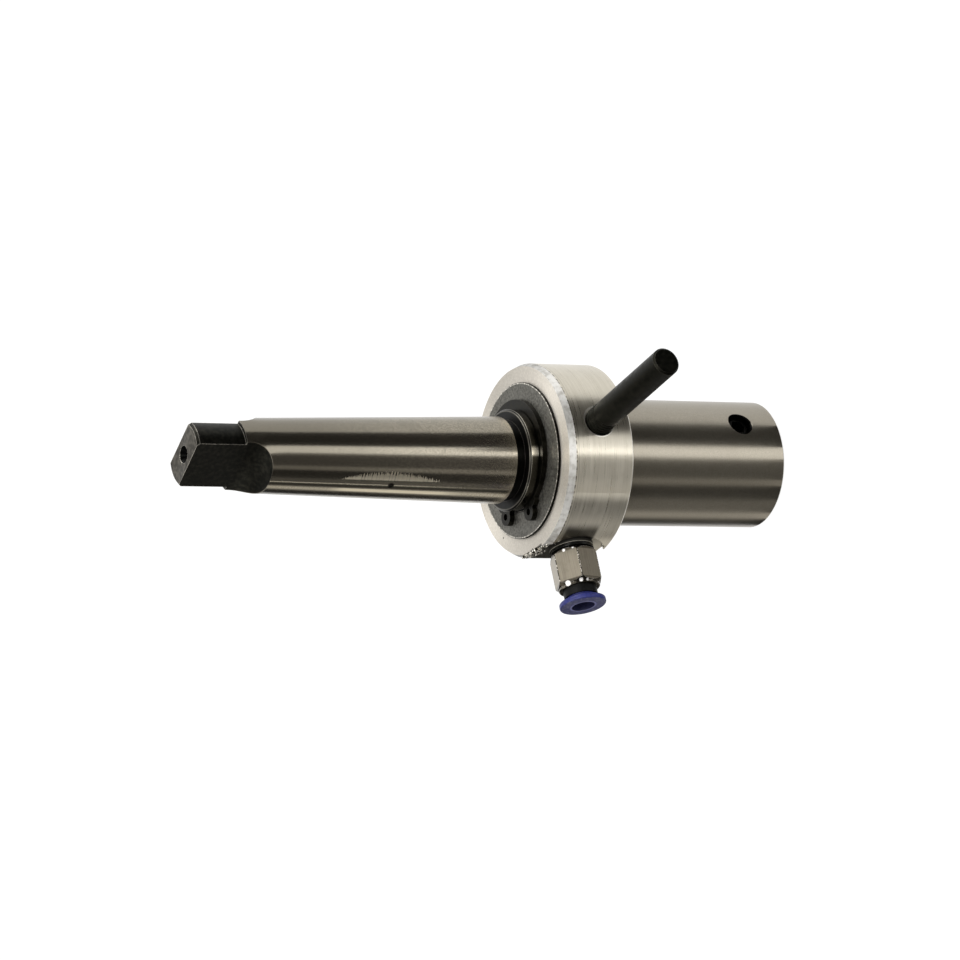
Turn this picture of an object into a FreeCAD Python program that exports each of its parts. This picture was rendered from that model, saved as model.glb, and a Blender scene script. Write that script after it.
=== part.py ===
"""Annular cutter arbor: Morse taper 3 shank, Weldon head and turning coolant ring.

The arbor stands upright on the end face of its head with the tang on top.  The origin is
the centre of the cutter socket's mouth, +Z runs up the common axis, all sizes are in
millimetres.  Angles are counted about +Z from +X.
"""
import FreeCAD, Part
import math
import os
import Sketcher

V = FreeCAD.Vector

# Driving sizes: alias, value, what it is.
SIZES = [
    # Morse taper 3 shank with its tang
    ("taper_large_width", 24.1, "diameter at the large end of the taper"),
    ("taper_ratio", 19.922, "length over which the taper loses one millimetre of diameter"),
    ("taper_length", 81.0, "length of the tapered part"),
    ("tang_width", 18.0, "turned diameter of the tang"),
    ("tang_length", 14.3, "tang beyond the taper's small end"),
    ("tang_thickness", 7.9, "thickness across the two flats"),
    ("tang_flat_length", 15.1, "straight part of a flat, from the end"),
    ("tang_runout_radius", 7.0, "radius of the cutter that leaves the flat"),
    ("tang_chamfer", 0.7, "chamfer round the tang's end"),
    ("tang_angle", 44.0, "direction of a flat's normal"),
    ("centre_mouth_width", 4.8, "mouth of the lathe centre"),
    ("centre_drill_width", 2.5, "pilot drill of the lathe centre"),
    ("centre_depth", 6.0, "depth of the lathe centre"),
    # neck, land, journal and head
    ("neck_width", 22.4, "undercut below the taper"),
    ("neck_length", 2.9, "length of the undercut"),
    ("land_length", 2.6, "land beyond the circlip groove"),
    ("land_chamfer", 0.5, "chamfer of the land"),
    ("journal_width", 28.25, "journal on which the ring turns"),
    ("groove_floor_width", 26.6, "diameter in the circlip groove"),
    ("groove_length", 1.8, "axial length of the circlip groove"),
    ("head_width", 35.25, "ground diameter of the head"),
    ("head_length", 54.5, "head from its end face to the shoulder"),
    ("head_chamfer", 0.4, "chamfer of the head's edges"),
    # cutter socket and what lies above it
    ("socket_width", 19.07, "socket for a 19.05 mm Weldon shank"),
    ("socket_depth", 33.0, "depth of the socket"),
    ("socket_chamfer", 0.8, "chamfer of the socket's mouth"),
    ("chamber_width", 14.0, "bore of the plunger chamber"),
    ("chamber_length", 27.0, "plunger chamber above the socket"),
    ("feed_width", 5.0, "axial coolant drilling"),
    ("feed_overrun", 2.5, "how far the drilling runs past the cross drilling"),
    ("cross_width", 4.0, "cross drilling under the gallery"),
    ("cross_angle", 20.0, "direction of the cross drilling"),
    # set screws
    ("screw_level", 12.2, "height of the set screws above the end face"),
    ("screw_angle", -49.5, "direction of the first set screw"),
    ("screw_spread", 90.0, "angle from the first set screw to the second"),
    ("screw_hole_width", 6.9, "tapped hole, across its thread crests"),
    ("screw_hole_chamfer", 0.3, "chamfer of the tapped hole's mouth"),
    ("screw_length", 6.0, "length of a set screw"),
    ("screw_back", 0.4, "how far a loosened screw stands behind the socket's wall"),
    ("screw_key_width", 4.0, "hexagon socket across flats"),
    ("screw_key_depth", 3.0, "depth of the hexagon socket"),
    ("screw_chamfer", 0.7, "chamfer of a set screw's ends"),
    ("thread_gap", 0.05, "radial gap between a thread and its hole"),
    # coolant ring
    ("ring_width", 53.8, "outer diameter of the ring"),
    ("ring_length", 20.0, "axial length of the ring"),
    ("ring_gap", 0.05, "radial running gap between ring and journal"),
    ("end_gap", 0.1, "axial running gap at the head's shoulder"),
    ("bevel_depth", 0.83, "radial depth of the front bevel"),
    ("bevel_length", 1.8, "axial length of the front bevel"),
    ("back_chamfer", 0.5, "chamfer of the ring's back edge"),
    ("gallery_length", 6.0, "axial length of the coolant gallery"),
    ("gallery_depth", 2.4, "radial depth of the coolant gallery"),
    ("seal_wire", 2.0, "section of the gallery seals"),
    ("seal_offset", 6.4, "axial distance of a seal from the gallery's middle"),
    ("seal_groove_length", 2.6, "axial length of a seal groove"),
    ("seal_gap", 0.04, "gap between a seal and what it seals on"),
    ("flat_reach", 25.4, "distance of the fitting's spot-faced seat from the axis"),
    ("seat_width", 21.3, "diameter of the spot face"),
    ("seat_offset", -3.2, "how far the spot face lies beside the port, round the ring"),
    ("port_rise", 0.2, "port above the middle of the ring"),
    ("port_angle", -156.0, "direction of the coolant port"),
    ("port_drill_width", 4.0, "drilling from the port to the gallery"),
    ("port_hole_depth", 6.6, "depth of the port's thread below the flat"),
    ("port_hole_chamfer", 0.3, "chamfer of the port's mouth"),
    # stop rod
    ("rod_angle", -66.0, "direction of the stop rod"),
    ("rod_width", 7.9, "diameter of the rod"),
    ("rod_thread_width", 7.5, "threaded end of the rod, between crest and root"),
    ("rod_seat", 19.4, "distance of the rod's inner end from the axis"),
    ("rod_thread_length", 12.4, "length of the threaded end"),
    ("rod_reach", 65.3, "distance of the rod's tip from the axis"),
    ("rod_chamfer", 0.5, "chamfer of the rod's ends"),
    ("rod_mouth_width", 9.4, "countersink of the rod's hole"),
    ("drill_gap", 0.4, "hole left beyond the end of a screwed-in thread"),
    # thrust washer and retaining ring
    ("washer_width", 43.2, "outer diameter of the thrust washer"),
    ("washer_thickness", 0.8, "thickness of the thrust washer"),
    ("washer_gap", 0.15, "radial gap between the washer and the journal"),
    ("washer_play", 0.05, "axial play on each side of the thrust washer"),
    ("washer_chamfer", 0.15, "broken edge of the thrust washer"),
    ("clip_thickness", 1.5, "thickness of the retaining ring"),
    ("clip_play", 0.05, "axial gap between the washer's play and the retaining ring"),
    ("clip_floor_gap", 0.02, "radial gap between the retaining ring and its groove"),
    ("clip_depth", 2.45, "mean radial depth of the retaining ring"),
    ("clip_offset", 1.1, "how far its outer circle is off centre"),
    ("clip_angle", -173.0, "direction of the opening"),
    ("lug_reach", 16.3, "distance of the plier holes from the axis"),
    ("lug_spread", 23.0, "angle from the opening's middle to a plier hole"),
    ("lug_width", 4.8, "rounded end of a lug"),
    ("lug_hole_width", 2.0, "plier hole"),
    ("root_reach", 14.2, "distance of the lugs' roots from the axis"),
    ("root_spread", 34.0, "angle from the opening's middle to a root"),
    ("root_width", 4.0, "rounded root that carries a lug"),
    # push-in fitting, lengths along the port's axis
    ("tube_width", 6.0, "outer diameter of the coolant tube"),
    ("gasket_width", 12.3, "outer diameter of the sealing washer"),
    ("gasket_bore", 9.9, "bore of the sealing washer"),
    ("gasket_thickness", 2.1, "thickness of the sealing washer"),
    ("fitting_thread_width", 9.6, "pipe thread of the fitting"),
    ("fitting_thread_length", 7.8, "length of that thread below the hexagon"),
    ("hex_width", 11.8, "hexagon across flats"),
    ("hex_length", 11.0, "length of the hexagon with its shoulder"),
    ("hex_chamfer", 1.3, "chamfer of the hexagon beside the sealing washer"),
    ("shoulder_width", 11.5, "turned shoulder beyond the hexagon"),
    ("shoulder_length", 0.65, "length of that shoulder"),
    ("shoulder_edge", 0.2, "broken edge of the shoulder"),
    ("hex_turn", 48.9, "turn of the hexagon about the port's axis"),
    ("cartridge_width", 9.5, "bore for the fitting's inner pieces"),
    ("cartridge_depth", 9.5, "depth of that bore"),
    ("cartridge_gap", 0.05, "radial gap round the inner pieces"),
    ("tube_stop_depth", 2.0, "tube socket below the cartridge bore"),
    ("passage_width", 4.5, "way for the coolant through the fitting"),
    ("tube_gap", 0.1, "radial gap round the tube in the inner pieces"),
    ("tube_seal_length", 2.4, "length of the tube seal"),
    ("backing_length", 2.0, "length of the backing ring"),
    ("backing_cone", 1.0, "axial depth of the backing ring's cone"),
    ("stack_gap", 0.02, "axial gap between the fitting's inner pieces"),
    ("grab_thickness", 0.3, "sheet of the grab ring"),
    ("grab_rim", 0.6, "radial width of the grab ring's flat rim"),
    ("grab_dip", 0.6, "how far the teeth lean inwards"),
    ("grab_slot_width", 0.5, "slot between two teeth"),
    ("grab_slot_count", 8, "number of slots"),
    ("guide_proud", 2.2, "guide sleeve beyond the hexagon"),
    ("guide_throat_width", 8.2, "narrow bore of the guide sleeve"),
    ("guide_room_width", 8.9, "wide bore behind the throat"),
    ("guide_room_length", 2.4, "length of the wide bore"),
    ("collar_bore_width", 6.4, "bore of the release collar"),
    ("collar_neck_width", 8.0, "outer diameter of the collar's sleeve"),
    ("collar_bead_width", 8.7, "bead that keeps the collar in"),
    ("collar_bead_length", 1.1, "length of the bead"),
    ("collar_bead_gap", 0.1, "gap between the bead and the throat"),
    ("collar_lift", 1.2, "gap under the collar's flange"),
    ("collar_flange_width", 13.0, "outer diameter of the flange"),
    ("collar_flange_thickness", 1.6, "thickness of the flange"),
    ("collar_round", 0.5, "rounding of the flange's edge"),
    # plunger set in the arbor
    ("snap_wire", 1.2, "wire of the snap ring"),
    ("snap_bite", 0.45, "how deep the snap ring sits in its groove"),
    ("snap_level", 1.8, "snap ring above the socket's floor"),
    ("snap_gap", 0.03, "gap between the snap ring and its groove"),
    ("snap_opening", 40.0, "angle of the snap ring's opening"),
    ("seat_thickness", 1.5, "thickness of the seat washer"),
    ("seat_bore_width", 8.6, "bore of the seat washer"),
    ("seat_gap", 0.05, "gap round and below the seat washer"),
    ("plunger_stem_width", 6.5, "stem that the pilot pin lifts"),
    ("plunger_stem_drop", 2.8, "stem below the seat washer's top face"),
    ("plunger_flange_width", 12.6, "flange under the spring"),
    ("plunger_flange_thickness", 3.0, "thickness of the flange"),
    ("plunger_spigot_width", 6.4, "spigot inside the spring"),
    ("plunger_spigot_length", 6.4, "length of the spigot"),
    ("plunger_chamfer", 0.4, "broken edges of the plunger"),
    ("plunger_seal_wire", 1.5, "section of the plunger's seal"),
    ("plunger_seal_gap", 0.1, "gap under the plunger's seal"),
    ("spring_width", 10.6, "outer diameter of the spring"),
    ("spring_wire", 1.1, "wire of the spring"),
    ("spring_turns", 6.5, "number of turns"),
    ("spring_gap", 0.02, "gap at each end of the spring"),
]

doc = FreeCAD.newDocument("cutter_arbor")
sheet = doc.addObject("Spreadsheet::Sheet", "Sizes")
for number, (alias, value, meaning) in enumerate(SIZES, start=1):
    sheet.set("A%d" % number, alias)
    sheet.set("B%d" % number, str(value))
    sheet.set("C%d" % number, meaning)
    sheet.setAlias("B%d" % number, alias)
doc.recompute()


class Size:
    """A value together with the sheet expression that gives it."""

    def __init__(self, value, text):
        self.value = value
        self.text = text

    def __add__(self, other):
        other = size(other)
        return Size(self.value + other.value, "(%s + %s)" % (self.text, other.text))

    def __radd__(self, other):
        return size(other) + self

    def __sub__(self, other):
        other = size(other)
        return Size(self.value - other.value, "(%s - %s)" % (self.text, other.text))

    def __rsub__(self, other):
        return size(other) - self

    def __mul__(self, other):
        other = size(other)
        return Size(self.value * other.value, "(%s * %s)" % (self.text, other.text))

    def __rmul__(self, other):
        return size(other) * self

    def __truediv__(self, other):
        other = size(other)
        return Size(self.value / other.value, "(%s / %s)" % (self.text, other.text))

    def __neg__(self):
        return Size(-self.value, "(0 - %s)" % self.text)


def size(number):
    """A plain number as a Size; a Size stays as it is."""
    return number if isinstance(number, Size) else Size(float(number), repr(float(number)))


class Table:
    """Every alias of the sheet as a Size."""

    def __getattr__(self, alias):
        return Size(float(sheet.get(alias)), "Sizes." + alias)


D = Table()


def origin_plane(body, role):
    return [feature for feature in body.Origin.OriginFeatures if feature.Role == role][0]


def new_body(name):
    body = doc.addObject("PartDesign::Body", name)
    body.Label = name
    return body


def side_sketch(body, name, turn=0, level=0):
    """A sketch in a plane through the Z axis: x is the radius and y the height.

    The plane is turned about Z and its origin lifted to a level."""
    sketch = body.newObject("Sketcher::SketchObject", name)
    sketch.AttachmentSupport = [(origin_plane(body, "XZ_Plane"), "")]
    sketch.MapMode = "FlatFace"
    turn, level = size(turn), size(level)
    sketch.AttachmentOffset = FreeCAD.Placement(V(0, level.value, 0), FreeCAD.Rotation(V(0, 1, 0), turn.value))
    sketch.setExpression("AttachmentOffset.Base.y", level.text)
    if turn.value:
        sketch.setExpression("AttachmentOffset.Rotation.Angle", turn.text)
    return sketch


def facing_sketch(body, name, turn, level, reach):
    """A sketch that looks out along a radius of the arbor: x runs round it and y up."""
    sketch = side_sketch(body, name, size(turn) + 90, level)
    turn, reach = size(turn), size(reach)
    angle, at = math.radians(turn.value), sketch.AttachmentOffset
    at.Base = V(reach.value * math.cos(angle), at.Base.y, -reach.value * math.sin(angle))
    sketch.AttachmentOffset = at
    sketch.setExpression("AttachmentOffset.Base.x", "%s * cos(%s)" % (reach.text, turn.text))
    sketch.setExpression("AttachmentOffset.Base.z", "-1 * %s * sin(%s)" % (reach.text, turn.text))
    return sketch


def plan_sketch(body, name, turn=0, level=0):
    """A sketch across the Z axis, turned about Z and lifted to a level."""
    sketch = body.newObject("Sketcher::SketchObject", name)
    sketch.AttachmentSupport = [(origin_plane(body, "XY_Plane"), "")]
    sketch.MapMode = "FlatFace"
    turn, level = size(turn), size(level)
    sketch.AttachmentOffset = FreeCAD.Placement(V(0, 0, level.value), FreeCAD.Rotation(V(0, 0, 1), turn.value))
    sketch.setExpression("AttachmentOffset.Base.z", level.text)
    if turn.value:
        sketch.setExpression("AttachmentOffset.Rotation.Angle", turn.text)
    return sketch


def pin_point(sketch, edge, end, x, y):
    """Hold one end of an edge at x, y; None leaves that direction free."""
    for kind, axis, distance in (("DistanceX", -2, x), ("DistanceY", -1, y)):
        if distance is None:
            continue
        distance = size(distance)
        if distance.text == size(0).text:
            sketch.addConstraint(Sketcher.Constraint("PointOnObject", edge, end, axis))
        else:
            row = sketch.addConstraint(Sketcher.Constraint(kind, -1, 1, edge, end, distance.value))
            sketch.setExpression("Constraints[%d]" % row, distance.text)


def outline(sketch, corners):
    """A closed outline of straight edges through the corners."""
    first = sketch.GeometryCount
    points = [V(size(x).value, size(y).value, 0) for x, y in corners]
    count = len(points)
    for i in range(count):
        sketch.addGeometry(Part.LineSegment(points[i], points[(i + 1) % count]))
    for i in range(count):
        sketch.addConstraint(Sketcher.Constraint("Coincident", first + i, 2, first + (i + 1) % count, 1))
    for i, (x, y) in enumerate(corners):
        pin_point(sketch, first + i, 1, x, y)
    return sketch


def circle(sketch, x, y, width):
    """A circle of the given diameter about x, y."""
    x, y, width = size(x), size(y), size(width)
    edge = sketch.addGeometry(Part.Circle(V(x.value, y.value, 0), V(0, 0, 1), width.value / 2))
    row = sketch.addConstraint(Sketcher.Constraint("Diameter", edge, width.value))
    sketch.setExpression("Constraints[%d]" % row, width.text)
    pin_point(sketch, edge, 3, x, y)
    return sketch


def hexagon(sketch, across_flats):
    """A regular hexagon about the origin with a corner on the x axis."""
    corner = across_flats / math.cos(math.radians(30)) / 2
    first = sketch.GeometryCount
    points = [V(corner.value * math.cos(math.radians(60 * i)), corner.value * math.sin(math.radians(60 * i)), 0)
              for i in range(6)]
    for i in range(6):
        sketch.addGeometry(Part.LineSegment(points[i], points[(i + 1) % 6]))
    round_edge = sketch.addGeometry(Part.Circle(V(0, 0, 0), V(0, 0, 1), corner.value), True)
    sketch.addConstraint(Sketcher.Constraint("Coincident", round_edge, 3, -1, 1))
    row = sketch.addConstraint(Sketcher.Constraint("Radius", round_edge, corner.value))
    sketch.setExpression("Constraints[%d]" % row, corner.text)
    for i in range(6):
        sketch.addConstraint(Sketcher.Constraint("Coincident", first + i, 2, first + (i + 1) % 6, 1))
        sketch.addConstraint(Sketcher.Constraint("PointOnObject", first + i, 1, round_edge))
    for i in range(1, 6):
        sketch.addConstraint(Sketcher.Constraint("Equal", first, first + i))
    sketch.addConstraint(Sketcher.Constraint("PointOnObject", first, 1, -1))
    return sketch


def bind(feature, name, value):
    value = size(value)
    setattr(feature, name, value.value)
    feature.setExpression(name, value.text)


def revolve(body, sketch, name, axis="V_Axis", angle=360):
    feature = body.newObject("PartDesign::Revolution", name)
    feature.Profile = sketch
    feature.ReferenceAxis = (sketch, [axis])
    bind(feature, "Angle", angle)
    return feature


def groove(body, sketch, name, axis="V_Axis"):
    feature = body.newObject("PartDesign::Groove", name)
    feature.Profile = sketch
    feature.ReferenceAxis = (sketch, [axis])
    feature.Angle = 360
    return feature


def pad(body, sketch, name, length):
    feature = body.newObject("PartDesign::Pad", name)
    feature.Profile = sketch
    bind(feature, "Length", length)
    return feature


def pocket_through(body, sketch, name):
    """Cut the sketch right through the solid, both ways."""
    feature = body.newObject("PartDesign::Pocket", name)
    feature.Profile = sketch
    feature.Type = "ThroughAll"
    feature.SideType = "Symmetric"
    return feature


def polar(body, features, name, count, sketch):
    """Repeat features about the body's Z axis."""
    feature = body.newObject("PartDesign::PolarPattern", name)
    feature.Originals = features
    feature.Axis = (sketch, ["N_Axis"])
    feature.Angle = 360
    if isinstance(count, Size):
        feature.Occurrences = int(count.value)
        feature.setExpression("Occurrences", count.text)
    else:
        feature.Occurrences = count
    body.Tip = feature
    return feature


def place(body, turn=0, level=0):
    """Turn a piece about Z and lift it to its level."""
    turn, level = size(turn), size(level)
    body.setExpression("Placement", "placement(vector(0; 0; %s); rotation(%s; 0; 0))" % (level.text, turn.text))


def place_radial(body, turn, level):
    """Lay a piece that was drawn along Z down on a radius of the arbor at a level."""
    turn, level = size(turn), size(level)
    body.setExpression("Placement", "placement(vector(0; 0; %s); rotation(%s; 90; 0))" % (level.text, turn.text))


# Levels along the arbor, from the end face of the head upwards
RING_BACK = D.head_length + D.end_gap
GALLERY_LEVEL = RING_BACK + D.ring_length / 2
PORT_LEVEL = GALLERY_LEVEL + D.port_rise
RING_FRONT = RING_BACK + D.ring_length
WASHER_LEVEL = RING_FRONT + D.washer_play
GROOVE_LEVEL = WASHER_LEVEL + D.washer_thickness + D.washer_play
CLIP_LEVEL = GROOVE_LEVEL + D.clip_play
GROOVE_END = GROOVE_LEVEL + D.groove_length
LAND_END = GROOVE_END + D.land_length
TAPER_LEVEL = LAND_END + D.neck_length
TAPER_END = TAPER_LEVEL + D.taper_length
TANG_END = TAPER_END + D.tang_length
TAPER_SMALL_WIDTH = D.taper_large_width - D.taper_length / D.taper_ratio
CHAMBER_END = D.socket_depth + D.chamber_length

# The plunger set, from the socket's floor upwards
SNAP_LEVEL = D.socket_depth + D.snap_level
SNAP_RADIUS = D.chamber_width / 2 + D.snap_bite - D.snap_wire / 2
SEAT_LEVEL = SNAP_LEVEL + D.snap_wire / 2 + D.seat_gap
SEAT_TOP = SEAT_LEVEL + D.seat_thickness
PLUNGER_SEAL_LEVEL = SEAT_TOP + D.plunger_seal_gap + D.plunger_seal_wire / 2
FLANGE_LEVEL = PLUNGER_SEAL_LEVEL + D.plunger_seal_wire / 2
FLANGE_TOP = FLANGE_LEVEL + D.plunger_flange_thickness

# Stations along the port's axis, counted from the arbor's axis
HEX_BASE = D.flat_reach + D.gasket_thickness
HEX_END = HEX_BASE + D.hex_length
THREAD_END = HEX_BASE - D.fitting_thread_length
CARTRIDGE_FLOOR = HEX_END - D.cartridge_depth
TUBE_STOP = CARTRIDGE_FLOOR - D.tube_stop_depth
SEAL_START = CARTRIDGE_FLOOR + D.stack_gap
SEAL_END = SEAL_START + D.tube_seal_length
BACKING_START = SEAL_END + D.stack_gap
BACKING_END = BACKING_START + D.backing_length
GRAB_START = BACKING_END + D.stack_gap
GRAB_END = GRAB_START + D.grab_thickness
GUIDE_START = GRAB_END + D.stack_gap
GUIDE_END = HEX_END + D.guide_proud
THROAT_START = GUIDE_START + D.guide_room_length
BEAD_END = THROAT_START - D.collar_bead_gap
BEAD_START = BEAD_END - D.collar_bead_length
FLANGE_START = GUIDE_END + D.collar_lift
FLANGE_END = FLANGE_START + D.collar_flange_thickness
CARTRIDGE_FIT = D.cartridge_width / 2 - D.cartridge_gap
TUBE_HOLE = D.tube_width / 2 + D.tube_gap

RING_BORE = D.journal_width / 2 + D.ring_gap
GALLERY_RADIUS = RING_BORE + D.gallery_depth
SEAL_RADIUS = D.journal_width / 2 + D.seal_gap + D.seal_wire / 2
SEAL_FLOOR = SEAL_RADIUS + D.seal_wire / 2 + D.seal_gap
ROD_THREAD_END = D.rod_seat + D.rod_thread_length
CUT_MARGIN = D.head_chamfer


def build_arbor():
    body = new_body("arbor_body")
    blank = outline(side_sketch(body, "arbor_profile"), [
        (0, 0),
        (D.head_width / 2 - D.head_chamfer, 0),
        (D.head_width / 2, D.head_chamfer),
        (D.head_width / 2, D.head_length - D.head_chamfer),
        (D.head_width / 2 - D.head_chamfer, D.head_length),
        (D.journal_width / 2, D.head_length),
        (D.journal_width / 2, GROOVE_LEVEL),
        (D.groove_floor_width / 2, GROOVE_LEVEL),
        (D.groove_floor_width / 2, GROOVE_END),
        (D.journal_width / 2, GROOVE_END),
        (D.journal_width / 2, LAND_END - D.land_chamfer),
        (D.journal_width / 2 - D.land_chamfer, LAND_END),
        (D.neck_width / 2, LAND_END),
        (D.neck_width / 2, TAPER_LEVEL),
        (D.taper_large_width / 2, TAPER_LEVEL),
        (TAPER_SMALL_WIDTH / 2, TAPER_END),
        (D.tang_width / 2, TAPER_END),
        (D.tang_width / 2, TANG_END - D.tang_chamfer),
        (D.tang_width / 2 - D.tang_chamfer, TANG_END),
        (0, TANG_END),
    ])
    revolve(body, blank, "arbor_turning")

    # Two flats that run out on the mill's radius
    flat = side_sketch(body, "tang_profile", D.tang_angle)
    half = D.tang_thickness / 2
    straight_end = TANG_END - D.tang_flat_length
    floor = straight_end - D.tang_runout_radius
    outside = half + D.tang_runout_radius + D.tang_width / 2
    above = TANG_END + D.tang_chamfer
    corners = [(half, above), (half, straight_end), (half + D.tang_runout_radius, floor), (outside, floor),
               (outside, above)]
    points = [V(x.value, y.value, 0) for x, y in corners]
    centre = V((half + D.tang_runout_radius).value, straight_end.value, 0)
    flat.addGeometry(Part.LineSegment(points[0], points[1]))
    flat.addGeometry(Part.ArcOfCircle(Part.Circle(centre, V(0, 0, 1), D.tang_runout_radius.value),
                                      math.pi, 1.5 * math.pi))
    for i in (2, 3, 4):
        flat.addGeometry(Part.LineSegment(points[i], points[(i + 1) % 5]))
    for edge, end, other, start in ((0, 2, 1, 1), (1, 2, 2, 1), (2, 2, 3, 1), (3, 2, 4, 1), (4, 2, 0, 1)):
        flat.addConstraint(Sketcher.Constraint("Coincident", edge, end, other, start))
    pin_point(flat, 0, 1, half, above)
    pin_point(flat, 1, 1, half, straight_end)
    pin_point(flat, 1, 3, half + D.tang_runout_radius, straight_end)
    pin_point(flat, 1, 2, half + D.tang_runout_radius, None)
    pin_point(flat, 3, 1, outside, None)
    flat.addConstraint(Sketcher.Constraint("Horizontal", 2))
    pin_point(flat, 4, 1, outside, above)
    tang_cut = pocket_through(body, flat, "tang_flat")
    polar(body, [tang_cut], "tang_flats", 2, plan_sketch(body, "tang_axis"))

    # Lathe centre in the tang's end
    cone = (D.centre_mouth_width - D.centre_drill_width) / 2 / math.tan(math.radians(30))
    centre_profile = outline(side_sketch(body, "centre_profile"), [
        (0, TANG_END),
        (D.centre_mouth_width / 2, TANG_END),
        (D.centre_drill_width / 2, TANG_END - cone),
        (D.centre_drill_width / 2, TANG_END - D.centre_depth),
        (0, TANG_END - D.centre_depth - D.centre_drill_width / 4),
    ])
    groove(body, centre_profile, "centre_hole")

    # Cutter socket, plunger chamber with its snap ring groove, and the coolant drilling
    feed_end = GALLERY_LEVEL + D.feed_overrun
    socket = outline(side_sketch(body, "socket_profile"), [
        (0, 0),
        (D.socket_width / 2 + D.socket_chamfer, 0),
        (D.socket_width / 2, D.socket_chamfer),
        (D.socket_width / 2, D.socket_depth),
        (D.chamber_width / 2, D.socket_depth),
        (D.chamber_width / 2, CHAMBER_END),
        (D.feed_width / 2, CHAMBER_END),
        (D.feed_width / 2, feed_end),
        (0, feed_end + D.feed_width / 4),
    ])
    groove(body, socket, "socket_bore")
    snap = circle(side_sketch(body, "snap_groove_profile"), SNAP_RADIUS, SNAP_LEVEL,
                  D.snap_wire + 2 * D.snap_gap)
    groove(body, snap, "snap_groove")

    # Cross drilling from the gallery to the coolant drilling
    cross = outline(side_sketch(body, "cross_profile", D.cross_angle, GALLERY_LEVEL), [
        (-D.journal_width / 2 - D.cross_width, 0),
        (D.journal_width / 2 + D.cross_width, 0),
        (D.journal_width / 2 + D.cross_width, D.cross_width / 2),
        (-D.journal_width / 2 - D.cross_width, D.cross_width / 2),
    ])
    groove(body, cross, "cross_drilling", "H_Axis")

    # Two tapped holes for the set screws
    for name, turn in (("right_screw", D.screw_angle), ("left_screw", D.screw_angle + D.screw_spread)):
        mouth = D.screw_hole_width / 2 + D.screw_hole_chamfer
        hole = outline(side_sketch(body, name + "_profile", turn, D.screw_level), [
            (D.socket_width / 4, 0),
            (D.head_width / 2 + CUT_MARGIN, 0),
            (D.head_width / 2 + CUT_MARGIN, mouth),
            (D.head_width / 2, mouth),
            (D.head_width / 2 - 2 * D.screw_hole_chamfer, D.screw_hole_width / 2),
            (D.socket_width / 4, D.screw_hole_width / 2),
        ])
        groove(body, hole, name + "_hole", "H_Axis")
    return body


def build_ring():
    body = new_body("coolant_ring")
    outer = D.ring_width / 2
    lower, upper = GALLERY_LEVEL - D.seal_offset, GALLERY_LEVEL + D.seal_offset
    half_seal, half_gallery = D.seal_groove_length / 2, D.gallery_length / 2
    blank = outline(side_sketch(body, "ring_profile"), [
        (RING_BORE + D.back_chamfer, RING_BACK),
        (outer - D.back_chamfer, RING_BACK),
        (outer, RING_BACK + D.back_chamfer),
        (outer, RING_FRONT - D.bevel_length),
        (outer - D.bevel_depth, RING_FRONT),
        (RING_BORE + D.back_chamfer, RING_FRONT),
        (RING_BORE, RING_FRONT - D.back_chamfer),
        (RING_BORE, upper + half_seal),
        (SEAL_FLOOR, upper + half_seal),
        (SEAL_FLOOR, upper - half_seal),
        (RING_BORE, upper - half_seal),
        (RING_BORE, GALLERY_LEVEL + half_gallery),
        (GALLERY_RADIUS, GALLERY_LEVEL + half_gallery),
        (GALLERY_RADIUS, GALLERY_LEVEL - half_gallery),
        (RING_BORE, GALLERY_LEVEL - half_gallery),
        (RING_BORE, lower + half_seal),
        (SEAL_FLOOR, lower + half_seal),
        (SEAL_FLOOR, lower - half_seal),
        (RING_BORE, lower - half_seal),
        (RING_BORE, RING_BACK + D.back_chamfer),
    ])
    revolve(body, blank, "ring_turning")

    # Spot face for the fitting: wider than the ring, so that it breaks out through both ends
    seat = circle(facing_sketch(body, "seat_outline", D.port_angle, PORT_LEVEL, D.flat_reach),
                  D.seat_offset, 0, D.seat_width)
    face = body.newObject("PartDesign::Pocket", "port_seat")
    face.Profile = seat
    face.Reversed = True
    bind(face, "Length", outer - D.flat_reach + D.back_chamfer)

    # Tapped port and its drilling to the gallery
    thread = D.fitting_thread_width / 2 + D.thread_gap
    port_floor = D.flat_reach - D.port_hole_depth
    port = outline(side_sketch(body, "port_profile", D.port_angle, PORT_LEVEL), [
        (RING_BORE, 0),
        (outer, 0),
        (outer, thread + D.port_hole_chamfer),
        (D.flat_reach, thread + D.port_hole_chamfer),
        (D.flat_reach - D.port_hole_chamfer, thread),
        (port_floor, thread),
        (port_floor, D.port_drill_width / 2),
        (RING_BORE, D.port_drill_width / 2),
    ])
    groove(body, port, "port_hole", "H_Axis")

    # Blind tapped hole for the stop rod, countersunk
    thread = D.rod_thread_width / 2 + D.thread_gap
    mouth = D.rod_mouth_width / 2
    hole_floor = D.rod_seat - D.drill_gap
    rod = outline(side_sketch(body, "rod_hole_profile", D.rod_angle, GALLERY_LEVEL), [
        (hole_floor, 0),
        (outer + D.back_chamfer, 0),
        (outer + D.back_chamfer, mouth),
        (outer, mouth),
        (outer - mouth + thread, thread),
        (hole_floor, thread),
    ])
    groove(body, rod, "rod_hole", "H_Axis")
    return body


def build_seals():
    for name, level in (("upper_seal", GALLERY_LEVEL + D.seal_offset), ("lower_seal", GALLERY_LEVEL - D.seal_offset)):
        body = new_body(name)
        wire = circle(side_sketch(body, name + "_section"), SEAL_RADIUS, 0, D.seal_wire)
        revolve(body, wire, name + "_ring")
        place(body, 0, level)


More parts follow.
